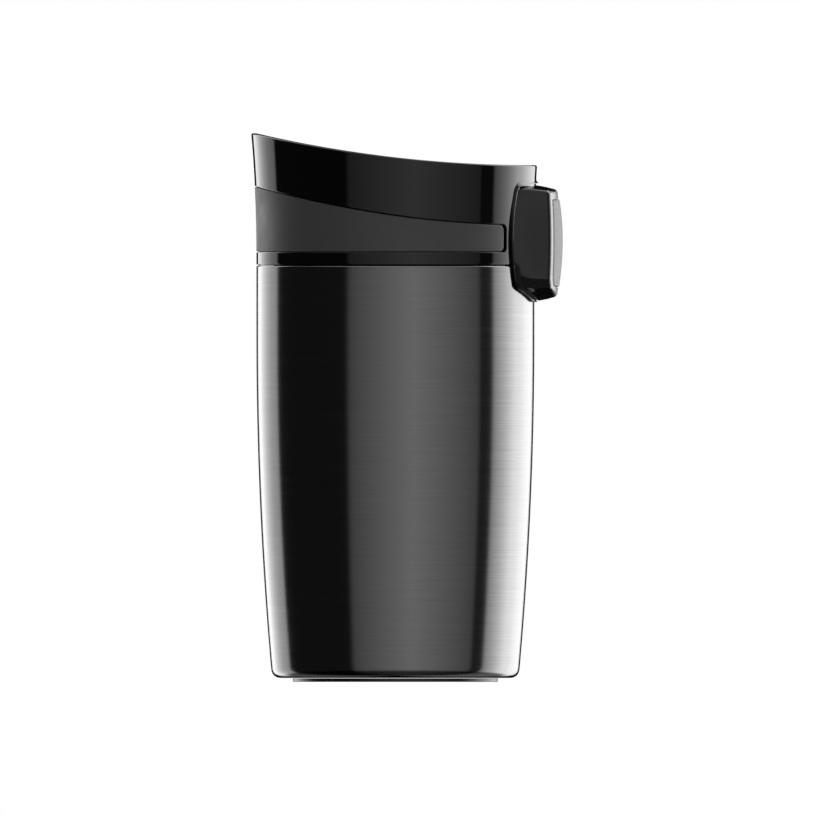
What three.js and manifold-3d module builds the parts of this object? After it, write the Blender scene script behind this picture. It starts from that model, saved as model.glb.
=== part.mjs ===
// Vacuum-insulated travel mug with a screw-in drinking lid, worked by a thumb lever.
// Millimetres, +Z up. The origin is the centre of the foot's underside.
// The lever is on the +X side and the high drinking rim is on the -X side.
import * as THREE from "three";
import { mergeVertices } from "three/addons/utils/BufferGeometryUtils.js";
import Module from "manifold-3d";

const wasm = await Module();
wasm.setup();

// ---------- driving dimensions ----------
const BODY_RADIUS = 39; // widest outside radius of the mug
const MOUTH_Z = 116.8; // top of the steel rim
const TAPER_START_Z = 96; // below this the side curves inwards
const TAPER_ARC_RADIUS = 1031; // radius of that long curve
const BASE_Z = 1.1; // underside of the steel, above the foot pad
const BASE_CORNER_RADIUS = 2.5;
const STEEL = 0.5; // sheet thickness
const FOOT_RADIUS = 28.8;
const BASE_OPENING_RADIUS = 29.5;

const NECK_RADIUS = 35.6; // inside of the liner's neck
const SEAT_TOP_Z = 105.2; // conical seat that the neck gasket presses on
const THROAT_RADIUS = 33.6; // inside of the liner below the seat
const WALL_TOTAL = 5.2; // outside of the shell to inside of the liner, below the seat
const LINER_FLOOR_Z = 8.5;
const LINER_CORNER_RADIUS = 7;

const THREAD_STARTS = 3;
const THREAD_LEAD = 12; // rise per turn
const THREAD_SWEEP = (150 / 180) * Math.PI; // how far round each ridge runs
const LINER_THREAD_Z = 109; // centre of a liner ridge at its lower end
const THREAD_OFFSET = 1.9; // a lid ridge runs this far below a liner ridge
const LINER_THREAD_CREST = 34.6;
const PLUG_RADIUS = 34.2;
const PLUG_THREAD_CREST = 35.3;
const RIDGE_ROOT_HALF = 0.9;
const RIDGE_CREST_HALF = 0.45;

const SEAM_GAP = 0.3; // the lid's lower edge stands this far above the steel rim
const LID_BOTTOM_Z = MOUTH_Z + SEAM_GAP;
const LID_FLARE_Z = 121.2; // above this the lid's side flares outwards
const LID_FLARE_RADIUS = 364;
const LID_WALL = 2.4;
const RIM_LOW_Z = 145; // rim height above the lever
const RIM_ARC_RADIUS = 361; // the rim sweeps up towards -X on this radius
const RIM_TANGENT_X = 40;
const LID_BLANK_TOP_Z = 158;

const DISH_FLOOR_Z = 131.5;
const DISH_CEILING_Z = 129.6; // underside of the dish floor
const DISH_CONE_BOTTOM = [29.5, 133];
const DISH_CONE_TOP = [37.6, 147];
const DISH_WALL = 2.1; // horizontal thickness of the cone wall
const PORT_RADIUS = 12.4;
const PORT_LEDGE_RADIUS = 11.4;
const PORT_LEDGE_Z = 130.4;

const BAND_BOTTOM_Z = 120.5;
const BAND_TOP_Z = 128.3; // top edge of the band where its arc is level
const BAND_ARC_RADIUS = 291;
const BAND_END_X = 31.2;
const BAND_DEPTH = 1.2;
const BAND_GAP = 0.2;

const PLUG_FLANGE_RADIUS = 36.4;
const PLUG_FLANGE_TOP_Z = 119.2;
const PLUG_BOTTOM_Z = 102;
const PLUG_PORT_RADIUS = 9.5;
const RISER_INNER_RADIUS = 13;
const RISER_OUTER_RADIUS = 14.6;
const RISER_TOP_Z = 128.4;
const GUIDE_BOTTOM_Z = 105.5;
const GUIDE_TOP_Z = 109.5;

const STEM_RADIUS = 2;
const CAP_COLLAR_BOTTOM_Z = 121.7;
const CAP_COLLAR_TOP_Z = 123.1;
const CAP_COLLAR_RADIUS = 5.8;

const PIVOT = { x: 36, z: 125 }; // axis of the lever, along Y
const PIN_RADIUS = 1.25;
const HUB_RADIUS = 2.8;
const EAR_INNER_Y = 7.2;
const EAR_OUTER_Y = 9.2;
const COLLAR_RADIUS = 40.6; // outer surface of the raised collar round the lever
const APRON_INNER_RADIUS = 39.5; // the collar's apron hangs this far out, over the steel
const APRON_OUTER_RADIUS = 40.2;
const COLLAR_WIDTH = 1.1;
const LEVER_GAP = 0.6;
const POCKET_FLOOR_Z = 119.6; // above this the pocket is open to the inside of the lid
const LEVER_BACK_HIGH = 38.8; // radius of the lever's back edge above the pocket floor
const LEVER_BACK_LOW = 40.7; // and below it, in front of the apron
const FRONT_CROWN_X = 45.1; // middle of the recess in the lever's front face
const FRONT_CURVE_RADIUS = 62.7; // the front is bowed round a vertical axis
const FRONT_CROWN_RADIUS = 220; // and a little from top to bottom
const FRONT_MIDDLE_Z = 124;

const FIT = 0.1; // gap between pieces that sit against each other
const ROUND = 36; // segments of the large round pieces
const FINE = 24; // segments of the small round pieces

// ---------- geometry helpers ----------
// Turns a geometry's faces outwards if they point inwards.
function facingOut(geometry) {
  const flat = geometry.index ? geometry.toNonIndexed() : geometry;
  const position = flat.getAttribute("position");
  const [a, b, c] = [new THREE.Vector3(), new THREE.Vector3(), new THREE.Vector3()];
  let volume = 0;
  for (let i = 0; i < position.count; i += 3) {
    a.fromBufferAttribute(position, i);
    b.fromBufferAttribute(position, i + 1);
    c.fromBufferAttribute(position, i + 2);
    volume += a.dot(b.cross(c));
  }
  if (volume > 0) return flat;
  const turned = new Float32Array(position.array.length);
  for (let i = 0; i < position.count; i += 3) {
    for (const [from, to] of [[0, 0], [1, 2], [2, 1]]) {
      turned.set(position.array.slice((i + from) * 3, (i + from) * 3 + 3), (i + to) * 3);
    }
  }
  return new THREE.BufferGeometry().setAttribute("position", new THREE.BufferAttribute(turned, 3));
}

// A closed geometry as a manifold-3d solid.
function solid(geometry) {
  const bare = new THREE.BufferGeometry();
  bare.setAttribute("position", facingOut(geometry).getAttribute("position"));
  const merged = mergeVertices(bare, 1e-4);
  const mesh = new wasm.Mesh({
    numProp: 3,
    vertProperties: merged.attributes.position.array,
    triVerts: new Uint32Array(merged.index.array),
  });
  return new wasm.Manifold(mesh);
}

// A manifold-3d solid as a three.js geometry.
function geometryOf(manifold) {
  const mesh = manifold.getMesh();
  const geometry = new THREE.BufferGeometry();
  geometry.setAttribute("position", new THREE.BufferAttribute(mesh.vertProperties.slice(), 3));
  geometry.setIndex(new THREE.BufferAttribute(mesh.triVerts.slice(), 1));
  return geometry;
}

// Revolves a closed outline of [radius, z] points round the Z axis.
function revolve(outline, segments = ROUND, x = 0) {
  const onAxis = outline[0][0] === 0 && outline.at(-1)[0] === 0;
  const points = (onAxis ? outline : [...outline, outline[0]]).map(([r, z]) => new THREE.Vector2(r, z));
  return solid(new THREE.LatheGeometry(points, segments).rotateX(Math.PI / 2).translate(x, 0, 0));
}

// [radius, z] points along an arc, angles in degrees from +radius towards +z.
function arc(r, z, radius, from, to, steps) {
  return Array.from({ length: steps + 1 }, (_, i) => {
    const angle = THREE.MathUtils.degToRad(from + ((to - from) * i) / steps);
    return [r + radius * Math.cos(angle), z + radius * Math.sin(angle)];
  });
}

// Values from one number to another, both included.
const spread = (from, to, steps) => Array.from({ length: steps + 1 }, (_, i) => from + ((to - from) * i) / steps);

// Extrudes a shape drawn in X and Z along Y, between two values of Y.
function alongY(shape, y0, y1) {
  const geometry = new THREE.ExtrudeGeometry(shape, { depth: y1 - y0, bevelEnabled: false, curveSegments: 8 });
  return solid(geometry.rotateX(Math.PI / 2).translate(0, y1, 0));
}

// Extrudes a shape drawn in Y and Z along X, between two values of X.
function alongX(shape, x0, x1) {
  const geometry = new THREE.ExtrudeGeometry(shape, { depth: x1 - x0, bevelEnabled: false, curveSegments: 8 });
  const basis = new THREE.Matrix4().makeBasis(
    new THREE.Vector3(0, 1, 0),
    new THREE.Vector3(0, 0, 1),
    new THREE.Vector3(1, 0, 0),
  );
  return solid(geometry.applyMatrix4(basis).translate(x0, 0, 0));
}

// Extrudes a shape drawn in X and Y upwards, between two values of Z.
function alongZ(shape, z0, z1) {
  const geometry = new THREE.ExtrudeGeometry(shape, { depth: z1 - z0, bevelEnabled: false, curveSegments: 3 });
  return solid(geometry.translate(0, 0, z0));
}

// A block between two corners, turned round the Z axis.
function block([x0, y0, z0], [x1, y1, z1], turn = 0) {
  const geometry = new THREE.BoxGeometry(x1 - x0, y1 - y0, z1 - z0);
  return solid(geometry.translate((x0 + x1) / 2, (y0 + y1) / 2, (z0 + z1) / 2).rotateZ(turn));
}

// A cylinder along Y through (x, z).
function barrel(x, z, radius, y0, y1, segments = 16) {
  const geometry = new THREE.CylinderGeometry(radius, radius, y1 - y0, segments);
  return solid(geometry.translate(x, (y0 + y1) / 2, z));
}

// Skins a row of loops, each an equal number of points. Its ends are closed, or joined to make a ring.
function loft(loops, ring = false) {
  const count = loops[0].length;
  const triangles = [];
  const spans = ring ? loops.length : loops.length - 1;
  for (let k = 0; k < spans; k++) {
    const near = loops[k];
    const far = loops[(k + 1) % loops.length];
    for (let i = 0; i < count; i++) {
      const j = (i + 1) % count;
      triangles.push(near[i], near[j], far[j], near[i], far[j], far[i]);
    }
  }
  if (!ring) {
    for (const [loop, flip] of [[loops[0], true], [loops.at(-1), false]]) {
      const middle = loop.reduce((sum, p) => sum.add(p), new THREE.Vector3()).divideScalar(count);
      for (let i = 0; i < count; i++) {
        const [p, q] = [loop[i], loop[(i + 1) % count]];
        triangles.push(middle, ...(flip ? [q, p] : [p, q]));
      }
    }
  }
  return solid(new THREE.BufferGeometry().setFromPoints(triangles));
}

// A round wire along a curve.
function wire(curve, radius, steps) {
  const section = new THREE.Shape().absarc(0, 0, radius, 0, Math.PI * 2);
  return solid(new THREE.ExtrudeGeometry(section, { steps, extrudePath: curve, curveSegments: 3 }));
}

// One ridge of a multi-start thread. It starts at angle start and climbs one lead per turn.
function threadRidge(start, z, rootRadius, crestRadius) {
  const steps = 15;
  const loops = spread(0, THREAD_SWEEP, steps).map((turned, i) => {
    const fade = Math.min(1, i / 2, (steps - i) / 2); // the ends run out into the wall
    const crest = rootRadius + (crestRadius - rootRadius) * Math.max(fade, 0.15);
    const middle = z + (THREAD_LEAD * turned) / (2 * Math.PI);
    const corners = [
      [rootRadius, RIDGE_ROOT_HALF],
      [crest, RIDGE_CREST_HALF],
      [crest, -RIDGE_CREST_HALF],
      [rootRadius, -RIDGE_ROOT_HALF],
    ];
    const angle = start + turned;
    return corners.map(([r, dz]) => new THREE.Vector3(r * Math.cos(angle), r * Math.sin(angle), middle + dz));
  });
  return loft(loops);
}

// Every ridge of one thread, joined.
function thread(z, rootRadius, crestRadius) {
  const ridges = spread(0, THREAD_STARTS - 1, THREAD_STARTS - 1).map((i) =>
    threadRidge((2 * Math.PI * i) / THREAD_STARTS, z, rootRadius, crestRadius),
  );
  return wasm.Manifold.union(ridges);
}

// ---------- profiles shared by several pieces ----------
const taper = (z) => Math.max(0, TAPER_START_Z - z) ** 2 / (2 * TAPER_ARC_RADIUS);
const bodyRadius = (z) => BODY_RADIUS - taper(z);
const lidRadius = (z) => BODY_RADIUS + Math.max(0, z - LID_FLARE_Z) ** 2 / (2 * LID_FLARE_RADIUS);
const bandTop = (x) => BAND_TOP_Z + (RIM_TANGENT_X - x) ** 2 / (2 * BAND_ARC_RADIUS);
const rimTop = (x) => RIM_LOW_Z + (RIM_TANGENT_X - x) ** 2 / (2 * RIM_ARC_RADIUS);

// The shield outline of the lever and its collar, drawn in Y and Z.
function shield({ half, bulge, top, drop, radius, sideBottom, corner, bottomHalf, bottom }) {
  const shoulder = top - drop;
  const middle = (shoulder - radius + sideBottom) / 2;
  const shape = new THREE.Shape().moveTo(-bottomHalf, bottom);
  shape.quadraticCurveTo(0, bottom, bottomHalf, bottom);
  shape.lineTo(half - corner[0], sideBottom - corner[1]);
  shape.lineTo(half, sideBottom);
  shape.quadraticCurveTo(half + 2 * bulge, middle, half, shoulder - radius);
  shape.quadraticCurveTo(half, shoulder, half - radius, shoulder);
  shape.quadraticCurveTo(0, top + drop, radius - half, shoulder);
  shape.quadraticCurveTo(-half, shoulder, -half, shoulder - radius);
  shape.quadraticCurveTo(-half - 2 * bulge, middle, -half, sideBottom);
  shape.lineTo(corner[0] - half, sideBottom - corner[1]);
  return shape;
}

const COLLAR_SHIELD = {
  half: 20.2,
  bulge: 2.1,
  top: 140.2,
  drop: 1,
  radius: 2.4,
  sideBottom: 110.8,
  corner: [1.6, 1],
  bottomHalf: 9,
  bottom: 106.6,
};
const FRONT_SHIELD = {
  half: 18.6,
  bulge: 0,
  top: 138.3,
  drop: 0.4,
  radius: 1.4,
  sideBottom: 113,
  corner: [1.6, 2.6],
  bottomHalf: 5,
  bottom: 107.9,
};

// The same outline, smaller by a margin all round.
const inset = (outline, margin) => ({
  ...outline,
  half: outline.half - margin,
  top: outline.top - margin,
  radius: Math.max(0.6, outline.radius - margin / 2),
  sideBottom: outline.sideBottom + margin / 2,
  bottomHalf: outline.bottomHalf - margin / 4,
  bottom: outline.bottom + margin,
});

// An outline's points, each placed in X by a function of y and z.
function placed(outline, placeX, scale = 1, middleZ = FRONT_MIDDLE_Z) {
  const points = shield(outline).getPoints(5);
  if (points[0].distanceTo(points.at(-1)) < 1e-6) points.pop();
  return points.map((p) => {
    const [y, z] = [p.x * scale, middleZ + (p.y - middleZ) * scale];
    return new THREE.Vector3(placeX(y, z), y, z);
  });
}

// X on the bowed front of the lever, raised by a height.
const frontX = (y, z, height = 0) =>
  FRONT_CROWN_X + height - y ** 2 / (2 * FRONT_CURVE_RADIUS) - (z - FRONT_MIDDLE_Z) ** 2 / (2 * FRONT_CROWN_RADIUS);

const FACE_STEPS = [1, 0.66, 0.33]; // the bowed faces are built from rings at these scales
const LEVER_ROOT_X = 32.5; // the lever's sides are drawn from here, then cut back to round surfaces
const ROOT_BOTTOM_Z = 105;

// ---------- the mug ----------
// Side of the shell from the mouth to the base, moved in by a margin.
function shellSide(margin) {
  const radius = BASE_CORNER_RADIUS - margin;
  const cornerZ = BASE_Z + BASE_CORNER_RADIUS;
  const cornerR = bodyRadius(cornerZ) - BASE_CORNER_RADIUS;
  const side = spread(TAPER_START_Z, cornerZ, 5).map((z) => [bodyRadius(z) - margin, z]);
  return [...side, ...arc(cornerR, cornerZ, radius, 0, -90, 3).slice(1)];
}

function outerShell() {
  const rimRound = 0.6;
  const rimInner = NECK_RADIUS + STEEL + FIT;
  const outside = [
    ...arc(BODY_RADIUS - rimRound, MOUTH_Z - rimRound, rimRound, 90, 0, 2),
    ...shellSide(0),
    [BASE_OPENING_RADIUS, BASE_Z],
  ];
  const inside = [
    [BASE_OPENING_RADIUS, BASE_Z + STEEL],
    ...shellSide(STEEL).reverse(),
    [BODY_RADIUS - STEEL, MOUTH_Z - rimRound],
    [BODY_RADIUS - rimRound, MOUTH_Z - STEEL],
    [rimInner, MOUTH_Z - STEEL],
    [rimInner, MOUTH_Z],
  ];
  return revolve([...outside, ...inside]);
}

// Inside of the liner from the mouth down to its floor, moved out by a margin.
function linerSide(margin) {
  const seatBottomZ = SEAT_TOP_Z - (NECK_RADIUS - THROAT_RADIUS);
  const cornerZ = LINER_FLOOR_Z + LINER_CORNER_RADIUS;
  const cornerR = bodyRadius(cornerZ) - WALL_TOTAL - LINER_CORNER_RADIUS;
  const lean = margin * Math.tan(Math.PI / 8); // keeps the sheet's thickness round the seat's bends
  return [
    [NECK_RADIUS + margin, MOUTH_Z],
    [NECK_RADIUS + margin, SEAT_TOP_Z - lean],
    [THROAT_RADIUS + margin, seatBottomZ - lean],
    ...spread(TAPER_START_Z, cornerZ, 4).map((z) => [bodyRadius(z) - WALL_TOTAL + margin, z]),
    ...arc(cornerR, cornerZ, LINER_CORNER_RADIUS + margin, 0, -90, 3).slice(1),
    [0, LINER_FLOOR_Z - margin],
  ];
}

function innerLiner() {
  const sheet = revolve([...linerSide(0).reverse(), ...linerSide(STEEL)]);
  return sheet.add(thread(LINER_THREAD_Z, NECK_RADIUS + 0.2, LINER_THREAD_CREST));
}

const DIMPLE = { radius: 4, rise: 1, hole: 1 };

function basePlate() {
  const { radius, rise, hole } = DIMPLE;
  const edge = BASE_OPENING_RADIUS - 2 * FIT;
  return revolve([
    [hole, BASE_Z + rise],
    [radius, BASE_Z + rise],
    [radius + rise, BASE_Z],
    [edge, BASE_Z],
    [edge, BASE_Z + STEEL],
    [radius + rise + 0.2, BASE_Z + STEEL],
    [radius + 0.2, BASE_Z + rise + STEEL],
    [hole, BASE_Z + rise + STEEL],
  ]);
}

// Solder that closes the hole through which the air was drawn out.
function vacuumSeal() {
  const top = BASE_Z + DIMPLE.rise - FIT;
  const bore = DIMPLE.hole - FIT;
  return revolve(
    [[0, top - 0.7], [1.6, top - 0.5], [2.5, top], [bore, top], [bore, top + 0.9], [0, top + 1]],
    FINE,
  );
}

function getter() {
  const low = BASE_Z + STEEL + FIT;
  return revolve([[0, low], [4, low], [4, low + 1.1], [3.6, low + 1.5], [0, low + 1.5]], FINE, 15);
}

function footPad() {
  const top = BASE_Z - FIT;
  return revolve([[0, 0], [FOOT_RADIUS - 0.4, 0], [FOOT_RADIUS, 0.4], [FOOT_RADIUS, top], [0, top]]);
}

// ---------- the lid ----------
function neckGasket() {
  const inner = 32.6;
  const outer = 34.2;
  const top = SEAT_TOP_Z + FIT;
  const bottom = 103.3;
  const toe = 33.3;
  return revolve([[inner, top], [outer, top], [outer, bottom + outer - toe], [toe, bottom], [inner, bottom]]);
}

function grooveOutline(margin) {
  const end = BAND_END_X - margin;
  const bottom = BAND_BOTTOM_Z + margin;
  const top = (x) => bandTop(x) - margin;
  const cornerX = 1.3;
  const cornerZ = 1.7;
  const start = -BODY_RADIUS - 6;
  const shape = new THREE.Shape().moveTo(start, bottom);
  shape.lineTo(end - cornerX, bottom);
  shape.quadraticCurveTo(end, bottom, end, bottom + cornerZ);
  shape.lineTo(end, top(end) - cornerZ);
  shape.quadraticCurveTo(end, top(end), end - cornerX, top(end - cornerX));
  for (const x of spread(end - cornerX, start, 10).slice(1)) shape.lineTo(x, top(x));
  return shape;
}

// A ring of the lid's wall between two depths under its outer surface.
function lidRing(depthOuter, depthInner, bottom, top) {
  const heights = spread(bottom, top, 4);
  const outer = heights.map((z) => [lidRadius(z) - depthOuter, z]);
  const inner = heights.map((z) => [lidRadius(z) - depthInner, z]);
  return revolve([...outer, ...inner.reverse()]);
}

const LID_REACH = 60; // well past the lid on every side

function bandRegion(margin) {
  return alongY(grooveOutline(margin), -LID_REACH, LID_REACH);
}

// Everything above the sweeping rim.
function aboveRim() {
  const shape = new THREE.Shape().moveTo(-LID_REACH, LID_BLANK_TOP_Z + 20);
  for (const x of spread(-LID_REACH, LID_REACH, 12)) shape.lineTo(x, rimTop(x));
  shape.lineTo(LID_REACH, LID_BLANK_TOP_Z + 20);
  return alongY(shape, -LID_REACH, LID_REACH);
}

// The drinking dish: a floor with the port, a cone, and the lip up to the rim.
function dish() {
  const [coneR, coneZ] = DISH_CONE_BOTTOM;
  const [lipR, lipZ] = DISH_CONE_TOP;
  const lip = LID_WALL - 0.2;
  return revolve([
    [PORT_LEDGE_RADIUS, DISH_CEILING_Z],
    [coneR + 1, DISH_CEILING_Z],
    [coneR + DISH_WALL, coneZ - 1.2],
    [lipR + DISH_WALL - 1.2, lipZ - 2],
    [lidRadius(LID_BLANK_TOP_Z) - 0.6, LID_BLANK_TOP_Z],
    [lidRadius(LID_BLANK_TOP_Z) - lip, LID_BLANK_TOP_Z],
    [lidRadius(lipZ + 4) - lip, lipZ + 4],
    [lipR, lipZ],
    [coneR, coneZ],
    [coneR - 1.6, DISH_FLOOR_Z + 0.3],
    [coneR - 3.2, DISH_FLOOR_Z],
    [PORT_RADIUS, DISH_FLOOR_Z],
    [PORT_RADIUS, PORT_LEDGE_Z],
    [PORT_LEDGE_RADIUS, PORT_LEDGE_Z],
  ]);
}

// The raised collar round the lever, with the apron that hangs over the steel.
function leverCollar() {
  const low = COLLAR_SHIELD.bottom - 1;
  const ring = revolve([
    [BODY_RADIUS - 1, LID_BOTTOM_Z],
    [APRON_INNER_RADIUS, LID_BOTTOM_Z],
    [APRON_INNER_RADIUS, low],
    [COLLAR_RADIUS + 0.4, low],
    [COLLAR_RADIUS, PIVOT.z],
    [COLLAR_RADIUS, 142],
    [BODY_RADIUS - 1, 142],
  ]);
  return ring.intersect(alongX(shield(COLLAR_SHIELD), 0, LID_REACH));
}

// The pocket that the lever sits in: shallow over the apron, right through the wall above it.
function leverPocket() {
  const region = revolve([
    [APRON_OUTER_RADIUS, COLLAR_SHIELD.bottom - 2],
    [LID_REACH, COLLAR_SHIELD.bottom - 2],
    [LID_REACH, 143],
    [BODY_RADIUS - 4, 143],
    [BODY_RADIUS - 4, POCKET_FLOOR_Z],
    [APRON_OUTER_RADIUS, POCKET_FLOOR_Z],
  ]);
  return region.intersect(alongX(shield(inset(COLLAR_SHIELD, COLLAR_WIDTH)), 0, LID_REACH));
}

// One of the two ears that hold the lever's pin, hanging from the dish.
function ear(y0, y1) {
  const shape = new THREE.Shape().moveTo(30, 129);
  shape.lineTo(PIVOT.x - HUB_RADIUS, PIVOT.z);
  shape.absarc(PIVOT.x, PIVOT.z, HUB_RADIUS, Math.PI, 2 * Math.PI);
  shape.lineTo(35.6, 131);
  shape.lineTo(34.4, 136);
  shape.lineTo(31.5, 134.5);
  const bore = barrel(PIVOT.x, PIVOT.z, PIN_RADIUS + 0.06, y0 - 1, y1 + 1);
  return alongY(shape, y0, y1).subtract(bore);
}

function lidShell() {
  const groove = lidRing(BAND_DEPTH, -3, BAND_BOTTOM_Z - 1, LID_BLANK_TOP_Z - 1).intersect(bandRegion(0));
  const wall = lidRing(0, LID_WALL, LID_BOTTOM_Z, LID_BLANK_TOP_Z)
    .add(leverCollar())
    .subtract(groove)
    .subtract(leverPocket());
  return wall
    .add(dish())
    .subtract(aboveRim())
    .add(ear(EAR_INNER_Y, EAR_OUTER_Y))
    .add(ear(-EAR_OUTER_Y, -EAR_INNER_Y));
}

function gripBand() {
  return lidRing(-0.1, BAND_DEPTH - FIT, BAND_BOTTOM_Z - 1, LID_BLANK_TOP_Z - 1).intersect(bandRegion(BAND_GAP));
}

// Slot in the riser tube that the lever's arm and its boot pass through.
const SLOT = { half: 5, bottom: 117.6 };

function lidPlug() {
  const shoulderZ = SEAT_TOP_Z + 0.3;
  const neck = 32.4;
  const lip = 33;
  const inner = 30.9;
  const floor = PLUG_BOTTOM_Z + 1.6;
  const cup = revolve([
    [PLUG_FLANGE_RADIUS, PLUG_FLANGE_TOP_Z],
    [PLUG_FLANGE_RADIUS, LID_BOTTOM_Z + FIT],
    [PLUG_RADIUS, LID_BOTTOM_Z + FIT],
    [PLUG_RADIUS, shoulderZ],
    [neck, shoulderZ],
    [neck, 103.2],
    [lip, 103.2],
    [lip, PLUG_BOTTOM_Z],
    [PLUG_PORT_RADIUS, PLUG_BOTTOM_Z],
    [PLUG_PORT_RADIUS, floor],
    [RISER_INNER_RADIUS, floor],
    [RISER_INNER_RADIUS, RISER_TOP_Z],
    [RISER_OUTER_RADIUS, RISER_TOP_Z],
    [RISER_OUTER_RADIUS, floor],
    [inner, floor],
    [inner, shoulderZ - 0.7],
    [neck, shoulderZ + 0.8],
    [neck, PLUG_FLANGE_TOP_Z],
  ]);
  const hub = revolve([
    [STEM_RADIUS + 0.3, GUIDE_BOTTOM_Z],
    [4, GUIDE_BOTTOM_Z],
    [4.8, GUIDE_TOP_Z - 1],
    [4.8, GUIDE_TOP_Z],
    [STEM_RADIUS + 0.3, GUIDE_TOP_Z],
  ], FINE);
  const spokes = [1, 3, 5].map((sixth) =>
    block([4.2, -0.8, GUIDE_BOTTOM_Z], [RISER_INNER_RADIUS + 0.8, 0.8, GUIDE_TOP_Z - 1], (sixth * Math.PI) / 3),
  );
  const slot = block([RISER_INNER_RADIUS - 3, -SLOT.half, SLOT.bottom], [RISER_OUTER_RADIUS + 2, SLOT.half, 130]);
  return wasm.Manifold.union([
    cup,
    thread(LINER_THREAD_Z - THREAD_OFFSET, PLUG_RADIUS - 0.2, PLUG_THREAD_CREST),
    hub,
    ...spokes,
  ]).subtract(slot);
}

function riserGasket() {
  const low = RISER_TOP_Z + FIT / 2;
  const high = DISH_CEILING_Z - FIT / 2;
  return revolve([
    [RISER_INNER_RADIUS, low],
    [RISER_OUTER_RADIUS, low],
    [RISER_OUTER_RADIUS, high],
    [RISER_INNER_RADIUS, high],
  ]);
}

const CAP_SLOTS = 8; // drinking slots

// Cap in the dish's port. It keeps fingers and ice off the valve and lets the drink through.
function flowCap() {
  const low = PORT_LEDGE_Z + FIT;
  const high = DISH_FLOOR_Z + 0.5;
  const disc = revolve([
    [0, low],
    [PORT_RADIUS - 0.2, low],
    [PORT_RADIUS - 0.2, high - 0.5],
    [PORT_RADIUS - 0.8, high],
    [3.6, high],
    [3, high + 1],
    [0, high + 1.2],
  ]);
  const pitch = (2 * Math.PI) / CAP_SLOTS;
  const slots = spread(0, CAP_SLOTS - 1, CAP_SLOTS - 1).map((i) => {
    const middle = (i + 0.5) * pitch;
    return alongZ(arcSlot(5.6, 9.6, middle - 0.3 * pitch, middle + 0.3 * pitch), low - 1, high + 2);
  });
  return disc.subtract(wasm.Manifold.union(slots));
}

// A slot between two radii and two angles, drawn in X and Y.
function arcSlot(inner, outer, from, to) {
  const shape = new THREE.Shape().absarc(0, 0, outer, from, to);
  return shape.absarc(0, 0, inner, to, from, true);
}

// ---------- the lever ----------
const ARM = { half: 3, bottom: 123, top: 127, slotHalf: 3.3, forkHalf: 5.5, forkStart: 7.5, tipRadius: 1.5 };

// Silicone boot that closes the riser's slot round the lever's arm.
function armBoot() {
  const frame = block(
    [RISER_INNER_RADIUS - 0.6, FIT - SLOT.half, SLOT.bottom + FIT],
    [RISER_OUTER_RADIUS - 0.2, SLOT.half - FIT, RISER_TOP_Z - FIT],
  );
  const sleeve = block(
    [RISER_OUTER_RADIUS - 0.6, -ARM.half - 1, ARM.bottom - 1],
    [RISER_OUTER_RADIUS + 3, ARM.half + 1, ARM.top + 1],
  );
  const hole = block([10, -ARM.half - 0.15, ARM.bottom - 0.15], [20, ARM.half + 0.15, ARM.top + 0.15]);
  return frame.add(sleeve).subtract(hole);
}

// The outside of the lever from its back edge to its bowed front.
function leverCap() {
  const backOutline = inset(COLLAR_SHIELD, COLLAR_WIDTH + LEVER_GAP);
  const recess = inset(FRONT_SHIELD, 0.45);
  const rootOutline = { ...backOutline, bottom: ROOT_BOTTOM_Z }; // the underside slopes up to the front
  const cap = loft([
    placed(rootOutline, () => LEVER_ROOT_X),
    placed(FRONT_SHIELD, (y, z) => frontX(y, z, 0.2)),
    placed(inset(FRONT_SHIELD, 0.3), (y, z) => frontX(y, z, 0.6)),
    ...FACE_STEPS.map((scale) => placed(recess, (y, z) => frontX(y, z), scale)),
  ]);
  const wall = 1.7;
  const hollow = loft([
    placed(inset(backOutline, wall + 0.4), () => LEVER_ROOT_X - 1),
    ...FACE_STEPS.map((scale) => placed(inset(FRONT_SHIELD, wall), (y, z) => frontX(y, z, -wall), scale)),
  ]);
  const core = revolve([
    [0, 100],
    [LEVER_BACK_LOW, 100],
    [LEVER_BACK_LOW, POCKET_FLOOR_Z + LEVER_GAP],
    [LEVER_BACK_HIGH, POCKET_FLOOR_Z + LEVER_GAP],
    [LEVER_BACK_HIGH, 145],
    [0, 145],
  ]);
  const besideCollar = revolve([[0, 100], [COLLAR_RADIUS + 0.8, 100], [COLLAR_RADIUS + 0.8, 145], [0, 145]])
    .subtract(alongX(shield(backOutline), -1, LID_REACH));
  return cap.subtract(hollow).subtract(core).subtract(besideCollar);
}

const HUB_Y = [-6.5, 2];

function leverArm() {
  const { half, bottom, top, forkHalf, forkStart, slotHalf, tipRadius } = ARM;
  const [hub0, hub1] = HUB_Y;
  const front = FRONT_CROWN_X - 1;
  const pieces = [
    barrel(PIVOT.x, PIVOT.z, HUB_RADIUS, hub0, hub1),
    block([PIVOT.x, hub0, PIVOT.z - 2.2], [front - 0.6, hub1, PIVOT.z + 2.2]),
    block([forkStart - 1, -half, bottom], [PIVOT.x - 1, half, top]),
    block([0, -forkHalf, PIVOT.z - 0.6], [forkStart, forkHalf, top]),
    barrel(0, PIVOT.z, tipRadius, -forkHalf, forkHalf),
  ];
  return wasm.Manifold.union(pieces)
    .subtract(block([-4, -slotHalf, 120], [forkStart - 2.5, slotHalf, 130]))
    .subtract(barrel(PIVOT.x, PIVOT.z, PIN_RADIUS + 0.1, hub0 - 1, hub1 + 1));
}

function leverBody() {
  return leverCap().add(leverArm());
}

const BEZEL = { outer: 0.6, inner: 3.2, low: 0.25, high: 0.9 };
const PLATE = { margin: 3.35, low: 0.25, edge: 1.5, crown: 0.5 };

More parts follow.
